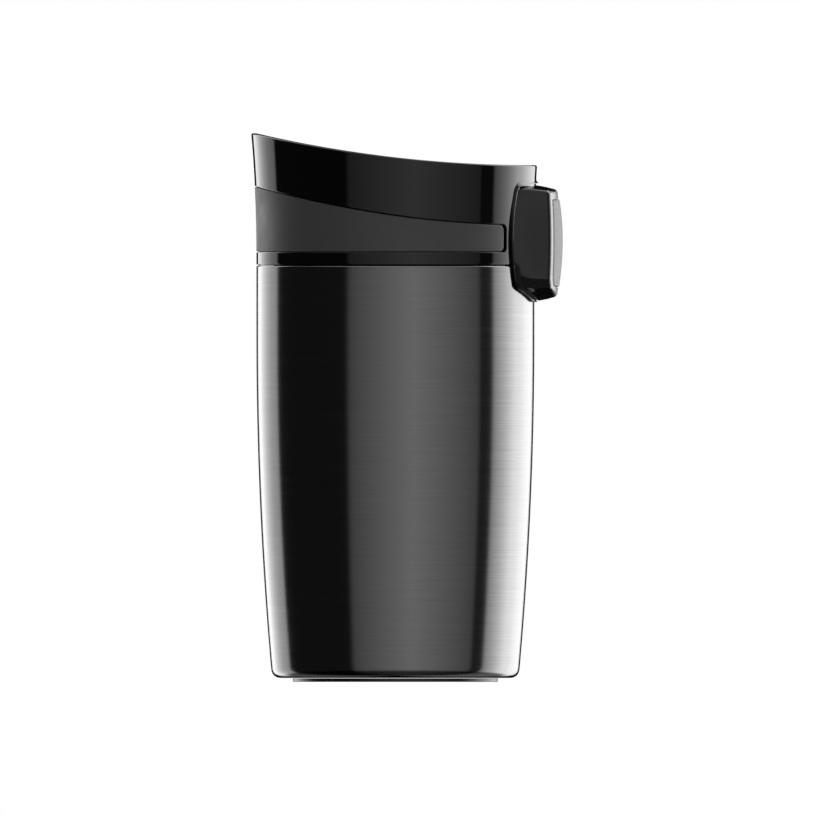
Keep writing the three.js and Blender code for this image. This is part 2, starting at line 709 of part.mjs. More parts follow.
function leverBezel() {
  const at = (margin, height) => placed(inset(FRONT_SHIELD, margin), (y, z) => frontX(y, z, height));
  return loft(
    [
      at(BEZEL.outer, BEZEL.low),
      at(BEZEL.outer, BEZEL.high - 0.3),
      at(BEZEL.outer + 0.3, BEZEL.high),
      at(BEZEL.inner, BEZEL.high),
      at(BEZEL.inner, BEZEL.low),
    ],
    true,
  );
}

function leverPlate() {
  const outline = inset(FRONT_SHIELD, PLATE.margin);
  const dome = (scale) => (y, z) => frontX(y, z, PLATE.edge + PLATE.crown * (1 - scale ** 2));
  return loft([
    ...FACE_STEPS.toReversed().map((scale) => placed(outline, (y, z) => frontX(y, z, PLATE.low), scale)),
    placed(outline, (y, z) => frontX(y, z, PLATE.edge - 0.3)),
    placed(inset(outline, 0.3), dome(1)),
    placed(inset(outline, 0.3), dome(0.66), 0.66),
    placed(inset(outline, 0.3), dome(0.33), 0.33),
  ]);
}

function leverPin() {
  return barrel(PIVOT.x, PIVOT.z, PIN_RADIUS, -EAR_OUTER_Y - 0.5, EAR_OUTER_Y + 0.5);
}

const SPRING_WIRE = 0.35;

// Torsion spring on the pin. One leg bears on the lever's front wall, the other on the pocket's floor.
function leverSpring() {
  const coil = { radius: 2.1, y0: 3.6, y1: 6.6, turns: 3 };
  const front = PIVOT.x + coil.radius;
  const points = spread(0, coil.turns, coil.turns * 12).map((turned) => {
    const angle = turned * 2 * Math.PI;
    return new THREE.Vector3(
      PIVOT.x + coil.radius * Math.cos(angle),
      coil.y0 + ((coil.y1 - coil.y0) * turned) / coil.turns,
      PIVOT.z - coil.radius * Math.sin(angle),
    );
  });
  const legUp = [9, 6, 3].map((rise) => new THREE.Vector3(front + rise * 0.45, coil.y0, PIVOT.z + rise));
  const legDown = [2, 3.5, 4.9].map((fall) => new THREE.Vector3(front, coil.y1, PIVOT.z - fall));
  const curve = new THREE.CatmullRomCurve3([...legUp, ...points, ...legDown], false, "centripetal");
  return wire(curve, SPRING_WIRE, 54);
}

// ---------- the valve ----------
function valveStem() {
  const discTop = PLUG_BOTTOM_Z - 1.8;
  return revolve([
    [0, discTop - 1.6],
    [6, discTop - 1.6],
    [11, discTop - 0.8],
    [11, discTop],
    [STEM_RADIUS, discTop],
    [STEM_RADIUS, PLUG_BOTTOM_Z],
    [STEM_RADIUS + 0.8, PLUG_BOTTOM_Z],
    [STEM_RADIUS, PLUG_BOTTOM_Z + 1],
    [STEM_RADIUS, 124],
    [STEM_RADIUS - 0.5, 124.5],
    [0, 124.5],
  ], FINE);
}

function valveSeal() {
  const low = PLUG_BOTTOM_Z - 1.8 + FIT;
  const high = PLUG_BOTTOM_Z - FIT;
  return revolve([
    [STEM_RADIUS + FIT, low],
    [11.4, low],
    [12.4, high - 0.5],
    [12.4, high],
    [STEM_RADIUS + FIT, high],
  ], 36);
}

// Cap on the stem's top: the spring pushes up under its collar, and the lever's fork pushes down on it.
function springCap() {
  const bore = STEM_RADIUS + FIT;
  return revolve([
    [0, 128.6],
    [1.6, 128.3],
    [2.7, 127.2],
    [2.9, CAP_COLLAR_TOP_Z],
    [CAP_COLLAR_RADIUS, CAP_COLLAR_TOP_Z],
    [CAP_COLLAR_RADIUS, CAP_COLLAR_BOTTOM_Z],
    [3.2, CAP_COLLAR_BOTTOM_Z],
    [3.2, 119],
    [bore, 119],
    [bore, 124.7],
    [0, 124.7],
  ], FINE);
}

class Helix extends THREE.Curve {
  constructor(radius, z0, z1, turns) {
    super();
    Object.assign(this, { radius, z0, z1, turns });
  }
  getPoint(t, target = new THREE.Vector3()) {
    const angle = t * this.turns * 2 * Math.PI;
    const z = this.z0 + (this.z1 - this.z0) * t;
    return target.set(this.radius * Math.cos(angle), this.radius * Math.sin(angle), z);
  }
}

function valveSpring() {
  const radius = 0.4;
  const turns = 6;
  const ends = radius + FIT;
  const curve = new Helix(4.1, GUIDE_TOP_Z + ends, CAP_COLLAR_BOTTOM_Z - ends, turns);
  return wire(curve, radius, turns * 9);
}

// ---------- materials and assembly ----------
const MATERIALS = {
  brushed_black_steel: { color: 0x3a3a3c, roughness: 0.32, metalness: 1 },
  bare_steel: { color: 0xb9bbbe, roughness: 0.3, metalness: 1 },
  spring_steel: { color: 0x9a9c9f, roughness: 0.25, metalness: 1 },
  gloss_black: { color: 0x070708, roughness: 0.06, metalness: 0 },
  grip_silicone: { color: 0x2c2c2d, roughness: 0.62, metalness: 0 },
  seal_silicone: { color: 0xb9bcc0, roughness: 0.5, metalness: 0 },
  inner_plastic: { color: 0x17181a, roughness: 0.42, metalness: 0 },
  satin_aluminium: { color: 0xa6a8ab, roughness: 0.3, metalness: 1 },
  foot_rubber: { color: 0x0b0b0c, roughness: 0.45, metalness: 0 },
  solder: { color: 0x8d9093, roughness: 0.45, metalness: 1 },
};

const GROUPS = {
  mug: [
    ["outer_shell", outerShell, "brushed_black_steel"],
    ["inner_liner", innerLiner, "bare_steel"],
    ["base_plate", basePlate, "bare_steel"],
    ["vacuum_seal", vacuumSeal, "solder"],
    ["getter", getter, "solder"],
    ["foot_pad", footPad, "foot_rubber"],
  ],
  neck_seal: [["neck_gasket", neckGasket, "seal_silicone"]],
  lid: [
    ["lid_shell", lidShell, "gloss_black"],
    ["grip_band", gripBand, "grip_silicone"],
    ["lid_plug", lidPlug, "inner_plastic"],
    ["riser_gasket", riserGasket, "seal_silicone"],
    ["arm_boot", armBoot, "seal_silicone"],
    ["flow_cap", flowCap, "inner_plastic"],
    ["lever_pin", leverPin, "spring_steel"],
  ],
  lever: [
    ["lever_body", leverBody, "gloss_black"],
    ["lever_bezel", leverBezel, "satin_aluminium"],
    ["lever_plate", leverPlate, "satin_aluminium"],
    ["lever_spring", leverSpring, "spring_steel"],
  ],
  valve: [
    ["valve_stem", valveStem, "inner_plastic"],
    ["valve_seal", valveSeal, "seal_silicone"],
    ["spring_cap", springCap, "inner_plastic"],
    ["valve_spring", valveSpring, "spring_steel"],
  ],
};

const mug = new THREE.Group();
for (const [groupName, pieces] of Object.entries(GROUPS)) {
  const group = new THREE.Group();
  group.name = groupName;
  for (const [name, make, material] of pieces) {
    const mesh = new THREE.Mesh(geometryOf(make()), new THREE.MeshStandardMaterial(MATERIALS[material]));
    mesh.name = name;
    group.add(mesh);
  }
  mug.add(group);
}

export default mug;
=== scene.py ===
"""A vacuum-insulated travel mug with a screw-in drinking lid and a thumb lever.

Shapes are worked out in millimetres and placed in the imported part's frame: +Z up,
the lever towards +X, the high drinking rim towards -X. The camera looks along +Y.
"""

import math

import bmesh
import bpy
import numpy as np
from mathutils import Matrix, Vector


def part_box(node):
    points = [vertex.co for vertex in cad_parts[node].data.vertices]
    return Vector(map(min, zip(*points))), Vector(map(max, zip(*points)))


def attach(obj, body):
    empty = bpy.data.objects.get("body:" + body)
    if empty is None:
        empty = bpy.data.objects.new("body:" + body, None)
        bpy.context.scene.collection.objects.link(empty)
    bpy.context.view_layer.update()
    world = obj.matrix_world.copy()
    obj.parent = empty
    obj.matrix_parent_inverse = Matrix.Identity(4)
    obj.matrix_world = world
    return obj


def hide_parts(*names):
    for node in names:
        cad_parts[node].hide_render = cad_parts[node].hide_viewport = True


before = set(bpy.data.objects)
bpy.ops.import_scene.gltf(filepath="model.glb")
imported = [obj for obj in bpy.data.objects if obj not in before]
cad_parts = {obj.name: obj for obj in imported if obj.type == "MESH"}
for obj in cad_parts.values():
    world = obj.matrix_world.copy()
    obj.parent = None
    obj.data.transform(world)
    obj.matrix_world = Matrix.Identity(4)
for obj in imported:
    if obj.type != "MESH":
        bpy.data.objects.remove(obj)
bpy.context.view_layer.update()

MM = 0.001
TURN = 2 * math.pi
MERGE_WITHIN = 1e-4  # points of a piece this close are one point


def span(node):
    """Lowest and highest corner of a CAD node, in millimetres."""
    low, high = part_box(node)
    return np.array(low) / MM, np.array(high) / MM


# ---------- sizes read from the frame ----------
SHELL_LOW, SHELL_HIGH = span("outer_shell")
LINER_LOW, LINER_HIGH = span("inner_liner")
PLUG_LOW, PLUG_HIGH = span("lid_plug")
SEAL_LOW, SEAL_HIGH = span("valve_seal")
STEM_LOW, STEM_HIGH = span("valve_stem")
FOOT_HIGH = span("foot_pad")[1]
PLATE_HIGH = span("lever_plate")[1]

# ---------- the mug's body ----------
BODY_RADIUS = SHELL_HIGH[0]
MOUTH_Z = SHELL_HIGH[2]
BASE_Z = SHELL_LOW[2]
TAPER_START_Z = 96  # the body narrows along an arc below this height
TAPER_ARC_RADIUS = 1031
BASE_CORNER = 2.6
BASE_OPENING = 29.5  # radius of the hole in the shell's base, which base_plate fills
STEEL = 0.5  # thickness of the sheet
SEAM = 0.1  # between the liner and the shell at the mouth
NECK_RADIUS = LINER_HIGH[0] - STEEL
SEAT_TOP_Z = 105.2
THROAT_RADIUS = 33.6
WALL_TOTAL = 5.2  # shell, vacuum gap and liner together
LINER_FLOOR_Z = LINER_LOW[2] + STEEL
BOWL_RISE = 8  # height of the rounding between the liner's floor and its side

# ---------- the thread, with the lower end and the crest of each set of ridges ----------
THREAD_STARTS = 3
THREAD_LEAD = 12
THREAD_SWEEP = math.radians(150)
LINER_THREAD_Z = 109
LINER_THREAD_CREST = 34.6
PLUG_THREAD_Z = 107.1
PLUG_THREAD_CREST = 35.3

# ---------- the lid ----------
SEAM_GAP = 0.3
LID_BOTTOM_Z = MOUTH_Z + SEAM_GAP
LID_FLARE_Z = 121.2  # the lid widens along an arc above this height
LID_FLARE_RADIUS = 364
LID_WALL = 2.4
LIP = 2.2  # thickness of the wall at the rim
LIP_OUTER_ROUNDING = 0.6
LIP_INNER_ROUNDING = 0.9
RIM_LOW_Z = 145  # the rim is lowest, and level, at RIM_TANGENT_X
RIM_ARC_RADIUS = 361
RIM_TANGENT_X = 40
DISH_FLOOR_Z = 131.5
DISH_UNDERSIDE_Z = 129.6
DISH_CONE_LOW = (29.5, 133)  # radius and height where the dish's side starts
DISH_CONE_HIGH = (37.6, 147)
DISH_BLEND = 0.6
PORT_RADIUS = 12.4
PORT_LEDGE_RADIUS = 11.4
PORT_LEDGE_Z = 130.4
BAND_BOTTOM_Z = 120.5
BAND_TOP_Z = 128.3
BAND_ARC_RADIUS = 291
GROOVE_END_X = 31.2
BAND_END_X = 30.5
GROOVE_DEPTH = 1.2
GROOVE_EDGE_DEPTH = 0.07  # of its softened edge
GROOVE_EDGE_WIDTH = 0.14
GROOVE_WALL_WIDTH = 0.07
BAND_GAP = 0.26
BAND_PROUD = 0.03
BAND_ROUNDING = 0.34
CORNER = 1.6  # rounding of the band's outline

# ---------- the lever ----------
PIVOT = (36, 125)
FRONT_X = 45.1  # of the front's middle
FRONT_CURVE = 72  # radius of its bow from side to side
FRONT_CROWN = 220  # radius of its bow from top to bottom
FRONT_MIDDLE_Z = 124
PLATE_CURVE = 68
PLATE_EDGE = 1.3  # height of the plate's edge over the front
PLATE_INSET = 2.88  # from the edge of the lever's front
POCKET_FLOOR_Z = 116.9
POCKET_TOP_Z = 139.6
OPENING_HALF = 21.3  # half the width of the pocket's mouth in the lid's wall
OPENING_CURVE = 0.0115
OPENING_SHOULDER_Z = 137.8
SILL_TOP_Z = 119.4
APRON_BACK = 39.35  # radius of the apron's back, just clear of the steel
APRON_FRONT = 39.8
HUB_SIDES = (-6.5, 2)  # Y of the hub's two ends
HUB_RADIUS = 2.8
HUB_WEB = 2.2  # half the height of the web between the hub and the front
ARM = {"half": 3, "bottom": 123, "top": 127, "fork": 5.5, "gap": 3.3, "fork_x": 7.5, "tip": 1.5}


def body_radius(z):
    """Radius of the steel body's side at a height."""
    return BODY_RADIUS - np.maximum(0, TAPER_START_Z - z) ** 2 / (2 * TAPER_ARC_RADIUS)


def lid_radius(z):
    """Radius of the lid's outer wall at a height."""
    return BODY_RADIUS + np.maximum(0, z - LID_FLARE_Z) ** 2 / (2 * LID_FLARE_RADIUS)


def rim_top(x):
    """Height of the rim, which falls towards the lever."""
    return RIM_LOW_Z + (RIM_TANGENT_X - x) ** 2 / (2 * RIM_ARC_RADIUS)


def band_top(x):
    """Height of the band's upper edge, which falls towards the lever too."""
    return BAND_TOP_Z + (RIM_TANGENT_X - x) ** 2 / (2 * BAND_ARC_RADIUS)


def front_x(y, z, height, curve=FRONT_CURVE):
    """X on the bowed front of the lever, raised by a height."""
    return FRONT_X + height - y**2 / (2 * curve) - (z - FRONT_MIDDLE_Z) ** 2 / (2 * FRONT_CROWN)


# ---------- mesh helpers ----------
class Skin:
    """Points and faces gathered for one mesh."""

    def __init__(self):
        self.points = []
        self.faces = []

    def grid(self, rows, close_rows=False, close_columns=True):
        """Quads over an array of points [row, column, xyz]."""
        count, width = rows.shape[:2]
        start = len(self.points)
        self.points.extend(rows.reshape(-1, 3))
        for i in range(count if close_rows else count - 1):
            for j in range(width if close_columns else width - 1):
                a = start + i * width
                b = start + ((i + 1) % count) * width
                k = (j + 1) % width
                self.faces.append((a + j, a + k, b + k, b + j))
        return self

    def cap(self, loop, flip=False):
        """A fan over one closed loop of points."""
        start = len(self.points)
        self.points.extend(loop)
        self.points.append(np.mean(loop, axis=0))
        middle = start + len(loop)
        for i in range(len(loop)):
            pair = (start + i, start + (i + 1) % len(loop))
            self.faces.append((middle, *(reversed(pair) if flip else pair)))
        return self

    def box(self, low, high, turn=0.0):
        """A block between two corners, turned round the Z axis."""
        start = len(self.points)
        c, s = math.cos(turn), math.sin(turn)
        for z in (low[2], high[2]):
            for x, y in ((low[0], low[1]), (high[0], low[1]), (high[0], high[1]), (low[0], high[1])):
                self.points.append(np.array([x * c - y * s, x * s + y * c, z]))
        sides = [(i, (i + 1) % 4, (i + 1) % 4 + 4, i + 4) for i in range(4)]
        for face in [(3, 2, 1, 0), (4, 5, 6, 7), *sides]:
            self.faces.append(tuple(start + k for k in face))
        return self

    def object(self, name, sharp=38):
        """The finished object, with its doubled points merged and its faces pointing out."""
        mesh = bpy.data.meshes.new(name)
        mesh.from_pydata([tuple(np.asarray(p) * MM) for p in self.points], [], self.faces)
        work = bmesh.new()
        work.from_mesh(mesh)
        bmesh.ops.remove_doubles(work, verts=work.verts, dist=MERGE_WITHIN * MM)
        bmesh.ops.recalc_face_normals(work, faces=work.faces)
        work.to_mesh(mesh)
        work.free()
        mesh.polygons.foreach_set("use_smooth", [True] * len(mesh.polygons))
        mesh.set_sharp_from_angle(angle=math.radians(sharp))
        piece = bpy.data.objects.new(name, mesh)
        bpy.context.collection.objects.link(piece)
        return piece


def polar(radius, angle, z):
    """Points at a distance from the Z axis, at an angle round it."""
    return np.stack([radius * np.cos(angle), radius * np.sin(angle), z], axis=-1)


def rounded(corners, steps=5):
    """A polyline through [r, z, rounding] corners, each rounded by a curve that starts that far from it."""
    points = [np.array(c[:2], float) for c in corners]
    line = []
    for i, corner in enumerate(corners):
        reach = corner[2] if len(corner) > 2 else 0
        if not reach or i in (0, len(corners) - 1):
            line.append(points[i])
            continue
        before, after = points[i - 1] - points[i], points[i + 1] - points[i]
        a = points[i] + before / np.linalg.norm(before) * reach
        b = points[i] + after / np.linalg.norm(after) * reach
        for t in np.linspace(0, 1, steps + 1):
            line.append((1 - t) ** 2 * a + 2 * t * (1 - t) * points[i] + t**2 * b)
    return np.array(line)


def revolve(skin, profile, segments=192, closed=True):
    """Turns an [r, z] profile round the Z axis. A profile that isn't closed starts and ends on the axis."""
    angles = np.linspace(0, TURN, segments, endpoint=False)
    r, z = np.array(profile)[:, 0, None], np.array(profile)[:, 1, None]
    return skin.grid(polar(r, angles, z + 0 * angles), close_rows=closed)


def tube(skin, points, radius, sides=10):
    """A round wire along a row of points, with closed ends."""
    points = np.array(points)
    along = np.gradient(points, axis=0)
    along /= np.linalg.norm(along, axis=1, keepdims=True)
    side = np.cross(along[0], [0.3, 0.5, 0.8])
    rows = []
    for p, t in zip(points, along):
        side = side - t * np.dot(side, t)
        side /= np.linalg.norm(side)
        up = np.cross(t, side)
        turns = np.arange(sides) * TURN / sides
        rows.append([p + radius * (math.cos(a) * side + math.sin(a) * up) for a in turns])
    rows = np.array(rows)
    return skin.grid(rows).cap(rows[0], flip=True).cap(rows[-1])


def place(piece, body, slot, material, *nodes):
    """Hands a finished piece to the frame in place of its CAD nodes."""
    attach(piece, body)
    if nodes:
        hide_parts(*nodes)
    piece.data.materials.clear()
    piece.data.materials.append(material)
    return piece


# ---------- material helpers ----------
def new_material(name, base, roughness, metallic=0.0, **sockets):
    """A plain material. More sockets are given by name, with _ for each space."""
    material = bpy.data.materials.new(name)
    material.use_nodes = True
    shader = material.node_tree.nodes["Principled BSDF"]
    shader.inputs["Base Color"].default_value = (*base, 1)
    shader.inputs["Roughness"].default_value = roughness
    shader.inputs["Metallic"].default_value = metallic
    for socket, value in sockets.items():
        shader.inputs[socket.replace("_", " ")].default_value = value
    return material, material.node_tree, shader


def add_noise(tree, scale, stretch=(1, 1, 1), detail=3.0):
    """Noise over the object, with its scale in features per metre stretched along each axis."""
    where = tree.nodes.new("ShaderNodeTexCoord")
    mapping = tree.nodes.new("ShaderNodeMapping")
    mapping.inputs["Scale"].default_value = stretch
    noise = tree.nodes.new("ShaderNodeTexNoise")
    noise.inputs["Scale"].default_value = scale
    noise.inputs["Detail"].default_value = detail
    tree.links.new(where.outputs["Object"], mapping.inputs["Vector"])
    tree.links.new(mapping.outputs["Vector"], noise.inputs["Vector"])
    return noise.outputs["Fac"]


def map_range(tree, value, source, target, interpolation="LINEAR"):
    """Maps a value from one range to another, and holds it inside that range."""
    node = tree.nodes.new("ShaderNodeMapRange")
    node.interpolation_type = interpolation
    for socket, number in zip(("From Min", "From Max", "To Min", "To Max"), (*source, *target)):
        node.inputs[socket].default_value = number
    tree.links.new(value, node.inputs["Value"])
    return node.outputs["Result"]


def vary(tree, value, low, high):
    """Spreads the middle of a noise value between two numbers."""
    return map_range(tree, value, (0.3, 0.7), (low, high))


def shade(tree, value, low, high):
    """Mixes two colours by a noise value."""
    mix = tree.nodes.new("ShaderNodeMix")
    mix.data_type = "RGBA"
    mix.inputs["A"].default_value = (*low, 1)
    mix.inputs["B"].default_value = (*high, 1)
    tree.links.new(value, mix.inputs["Factor"])
    return mix.outputs["Result"]


def add_bump(tree, shader, value, distance_mm, strength):
    """Lets a noise value press very fine relief into the surface."""
    bump = tree.nodes.new("ShaderNodeBump")
    bump.inputs["Strength"].default_value = strength
    bump.inputs["Distance"].default_value = distance_mm * MM
    tree.links.new(value, bump.inputs["Height"])
    tree.links.new(bump.outputs["Normal"], shader.inputs["Normal"])


def add_variation(tree, shader, colour_noise, base, contrast, gloss_noise, roughness, spread):
    """Varies a material's colour and its roughness, each by its own noise, on both sides of its middle."""
    dark = [c * (1 - contrast) for c in base]
    light = [c * (1 + contrast) for c in base]
    colour = shade(tree, vary(tree, colour_noise, 0, 1), dark, light)
    gloss = vary(tree, gloss_noise, roughness * (1 - spread), roughness * (1 + spread))
    tree.links.new(colour, shader.inputs["Base Color"])
    tree.links.new(gloss, shader.inputs["Roughness"])


def brushed(name, base, roughness, contrast, anisotropy=0.0, grain_mm=0.004, metallic=1.0, **sockets):
    """Metal brushed round the Z axis: fine level lines in its colour, roughness and surface."""
    material, tree, shader = new_material(
        name, base, roughness, metallic=metallic, Anisotropic=anisotropy, **sockets
    )
    lines = add_noise(tree, 1.0, (50, 50, 5200), detail=4)
    add_variation(tree, shader, lines, base, contrast, lines, roughness, 0.15)
    add_bump(tree, shader, lines, grain_mm, 0.35)
    if anisotropy:
        tangent = tree.nodes.new("ShaderNodeTangent")
        tangent.direction_type = "RADIAL"
        tangent.axis = "Z"
        tree.links.new(tangent.outputs["Tangent"], shader.inputs["Tangent"])
        shader.inputs["Anisotropic Rotation"].default_value = 0.25
    return material


def moulded(name, base, roughness, texture_mm, depth_mm, spread=0.15, **sockets):
    """Moulded plastic, rubber or silicone with a fine texture and slightly uneven gloss."""
    material, tree, shader = new_material(name, base, roughness, **sockets)
    texture = add_noise(tree, 1 / (texture_mm * MM))
    cloud = add_noise(tree, 90.0, detail=2)
    add_variation(tree, shader, texture, base, 0.08, cloud, roughness, spread)
    add_bump(tree, shader, texture, depth_mm, 0.5)
    return material


BLACK_STEEL = brushed(
    "brushed_black_steel", (0.19, 0.19, 0.192), 0.17, contrast=0.09, anisotropy=0.8, grain_mm=0.0015
)
BARE_STEEL = brushed("bare_steel", (0.55, 0.55, 0.555), 0.26, contrast=0.05)
SPRING_STEEL = brushed("spring_steel", (0.5, 0.5, 0.51), 0.2, contrast=0.05)
SILVER = brushed(
    "satin_aluminium", (0.22, 0.22, 0.223), 0.24,
    contrast=0.03, grain_mm=0.001, metallic=0.25, Specular_IOR_Level=0.1,
)
PLATE_SILVER = brushed(
    "satin_plate", (0.2, 0.2, 0.202), 0.5,
    contrast=0.012, grain_mm=0.001, metallic=0.0, Specular_IOR_Level=0.1,
)
SOLDER = moulded("solder", (0.32, 0.32, 0.33), 0.45, texture_mm=0.6, depth_mm=0.02, Metallic=1.0)
GLOSS_BLACK = moulded(
    "gloss_black", (0.0006, 0.0006, 0.00065), 0.03, texture_mm=2.5, depth_mm=0.0004, spread=0.2
)
LEVER_BLACK = moulded("lever_black", (0.003, 0.003, 0.0032), 0.16, texture_mm=0.5, depth_mm=0.0015)
MATT_BLACK = moulded(
    "matt_black", (0.002, 0.002, 0.0021), 0.8, texture_mm=0.3, depth_mm=0.004, Specular_IOR_Level=0.05
)
PLASTIC = moulded("inner_plastic", (0.010, 0.010, 0.011), 0.3, texture_mm=0.35, depth_mm=0.004)
SILICONE = moulded("grip_silicone", (0.022, 0.022, 0.0225), 0.5, texture_mm=0.22, depth_mm=0.012)
SEAL = moulded(
    "seal_silicone", (0.34, 0.35, 0.36), 0.42, texture_mm=0.4, depth_mm=0.004, Transmission_Weight=0.15
)
RUBBER = moulded("foot_rubber", (0.006, 0.006, 0.0065), 0.3, texture_mm=0.4, depth_mm=0.004)


# ---------- the mug ----------
def taper_line(margin, top, bottom, steps=28):
    """The side of the body between two heights, moved in by a margin."""
    heights = np.linspace(top, bottom, steps)
    return [(body_radius(z) - margin, z) for z in heights]


def make_shell():
    """The outer steel skin, folded in over the neck at the top and round the base at the bottom."""
    corner_z = BASE_Z + BASE_CORNER
    outer = rounded([
        (NECK_RADIUS + STEEL + SEAM, MOUTH_Z - STEEL),
        (NECK_RADIUS + STEEL + SEAM, MOUTH_Z, 0.2),
        (BODY_RADIUS, MOUTH_Z, 0.55),
        (BODY_RADIUS, TAPER_START_Z),
    ])
    foot = rounded([
        (body_radius(corner_z + 1), corner_z + 1),
        (body_radius(BASE_Z) - 0.05, BASE_Z, BASE_CORNER),
        (BASE_OPENING, BASE_Z, 0.2),
        (BASE_OPENING, BASE_Z + STEEL),
        (body_radius(BASE_Z) - STEEL, BASE_Z + STEEL, BASE_CORNER),
        (body_radius(corner_z + 1) - STEEL, corner_z + 1),
    ], steps=9)
    inner = taper_line(STEEL, corner_z + 3, TAPER_START_Z) + [(BODY_RADIUS - STEEL, MOUTH_Z - STEEL)]
    profile = [*outer, *taper_line(0, TAPER_START_Z - 1, corner_z + 3), *foot, *inner]
    return revolve(Skin(), profile, segments=288).object("shell")


def add_thread(skin, z, root, crest, steps=60):
    """The ridges of one thread. Each climbs as it turns and runs out at both ends."""
    turned = np.linspace(0, THREAD_SWEEP, steps + 1)
    fade = np.clip(np.minimum(turned, THREAD_SWEEP - turned) / 0.25, 0.1, 1)
    tops = root + (crest - root) * fade
    heights = z + THREAD_LEAD * turned / TURN
    upper = [(0, 1.0), (0.55, 0.62), (0.9, 0.5), (1, 0.25)]  # share of the way to the crest, and rise
    section = upper + [(share, -rise) for share, rise in upper[::-1]]
    for number in range(THREAD_STARTS):
        a = TURN * number / THREAD_STARTS + turned
        rows = []
        for share, rise in section:
            r = root + (tops - root) * share
            rows.append(polar(r, a, heights + rise))
        rows = np.array(rows).transpose(1, 0, 2)
        skin.grid(rows).cap(rows[0], flip=True).cap(rows[-1])


def make_liner():
    """The inner cup, with its conical gasket seat and the three ridges that hold the lid."""
    seat_low = SEAT_TOP_Z - (NECK_RADIUS - THROAT_RADIUS)
    floor_radius = body_radius(LINER_FLOOR_Z + BOWL_RISE) - WALL_TOTAL

    def side(margin):
        neck = rounded([
            (NECK_RADIUS + margin, MOUTH_Z),
            (NECK_RADIUS + margin, SEAT_TOP_Z, 0.8),
            (THROAT_RADIUS + margin, seat_low, 0.8),
            (THROAT_RADIUS + margin, seat_low - 3),
        ])
        bowl = rounded([
            (floor_radius + margin, LINER_FLOOR_Z + BOWL_RISE),
            (floor_radius + margin - 0.4, LINER_FLOOR_Z - margin, 7),
            (0, LINER_FLOOR_Z - margin),
        ], steps=12)
        wall = taper_line(WALL_TOTAL - margin, TAPER_START_Z, LINER_FLOOR_Z + BOWL_RISE + 1, steps=16)
        return [*neck, *wall, *bowl]

    skin = revolve(Skin(), [*side(0)[::-1], *side(STEEL)], segments=144, closed=False)
    add_thread(skin, LINER_THREAD_Z, NECK_RADIUS + 0.2, LINER_THREAD_CREST)
    return skin.object("liner")


def make_foot():
    """The flat rubber pad that the mug stands on."""
    top = FOOT_HIGH[2]
    edge = FOOT_HIGH[0]
    profile = rounded([(0, 0), (edge - 0.05, 0, 0.35), (edge, top, 0.12), (edge - 1, top), (0, top)])
    return revolve(Skin(), profile, segments=192, closed=False).object("foot")


# ---------- the lid ----------
def lid_azimuths():
    """Angles round the lid, closer together at the ends of the band and behind the lever."""
    ends = math.degrees(math.acos(GROOVE_END_X / BODY_RADIUS))
    near = np.arange(ends - 2.4, ends + 4.6, 0.1)
    front = np.arange(-ends + 2.5, ends - 2.4, 0.75)
    rest = np.arange(near[-1] + 1, 360 - near[-1] - 0.5, 1.25)
    return np.radians(np.concatenate([front, near, rest, np.sort(-near) + 360]))


def on_curve(curve, angles):
    """Heights at which the lid's outer surface meets a curve given over X."""
    z = np.full_like(angles, 140.0)
    for _ in range(12):
        z = curve(lid_radius(z) * np.cos(angles))
    return z


def inside_outline(angles, z, end_x, margin):
    """How far a point lies inside the band's outline, which has rounded corners, in millimetres."""
    top = on_curve(band_top, angles) - margin
    slope = np.cos(np.arctan(np.gradient(top, angles) / BODY_RADIUS))
    level = np.minimum(z - BAND_BOTTOM_Z - margin, (top - z) * slope)
    turned = np.abs((angles + math.pi) % TURN - math.pi)
    across = (turned - np.arccos(end_x / lid_radius(z))) * lid_radius(z)
    in_corner = (level < CORNER) & (across < CORNER)
    arc = CORNER - np.hypot(CORNER - level, CORNER - across)
    return np.where(in_corner, arc, np.minimum(level, across))


def groove_depth(inside):
    """Depth of the band's groove: a softened edge, then a steep wall."""
    edge = GROOVE_EDGE_DEPTH * np.clip((inside + GROOVE_EDGE_WIDTH) / GROOVE_EDGE_WIDTH, 0, 1) ** 2
    return edge + (GROOVE_DEPTH - GROOVE_EDGE_DEPTH) * np.clip(inside / GROOVE_WALL_WIDTH, 0, 1)


# How far into the band the lid's rows lie near its edge, denser where the groove's wall falls.
EDGE_STEPS = np.array([
    -0.5, -0.25, -GROOVE_EDGE_WIDTH, -GROOVE_EDGE_WIDTH / 2, 0, GROOVE_WALL_WIDTH,
    0.16, 0.3, 0.45, 0.6, 0.75, 0.9, 1.1, 1.35, CORNER,
])


def between(low, high, count):
    """Rows of heights between two rows, without the two themselves."""
    return [low * (1 - share) + high * share for share in np.linspace(0, 1, count + 2)[1:-1]]


def wall_heights(angles, low, top):
    """Rows of heights that follow both edges of the band exactly."""
    flat = 0 * angles
    upper = on_curve(band_top, angles)
    first = BAND_BOTTOM_Z + EDGE_STEPS[0]
    below = [low + (first - low) * share + flat for share in np.linspace(0, 1, 6)[:-1]]
    edges = [BAND_BOTTOM_Z + step + flat for step in EDGE_STEPS]
    edges += between(BAND_BOTTOM_Z + CORNER, upper - CORNER, 7)
    edges += [upper - step for step in EDGE_STEPS[::-1]]
    return [*below, *edges, *between(upper - EDGE_STEPS[0], top, 14), top]


def dish_radius(z):
    """Inside of the lid above its floor: a cone that runs smoothly into the lip."""
    (r0, z0), (r1, z1) = DISH_CONE_LOW, DISH_CONE_HIGH
    cone = r0 + (z - z0) * (r1 - r0) / (z1 - z0)
    lip = lid_radius(z) - LIP
    return -DISH_BLEND * np.logaddexp(-cone / DISH_BLEND, -lip / DISH_BLEND)


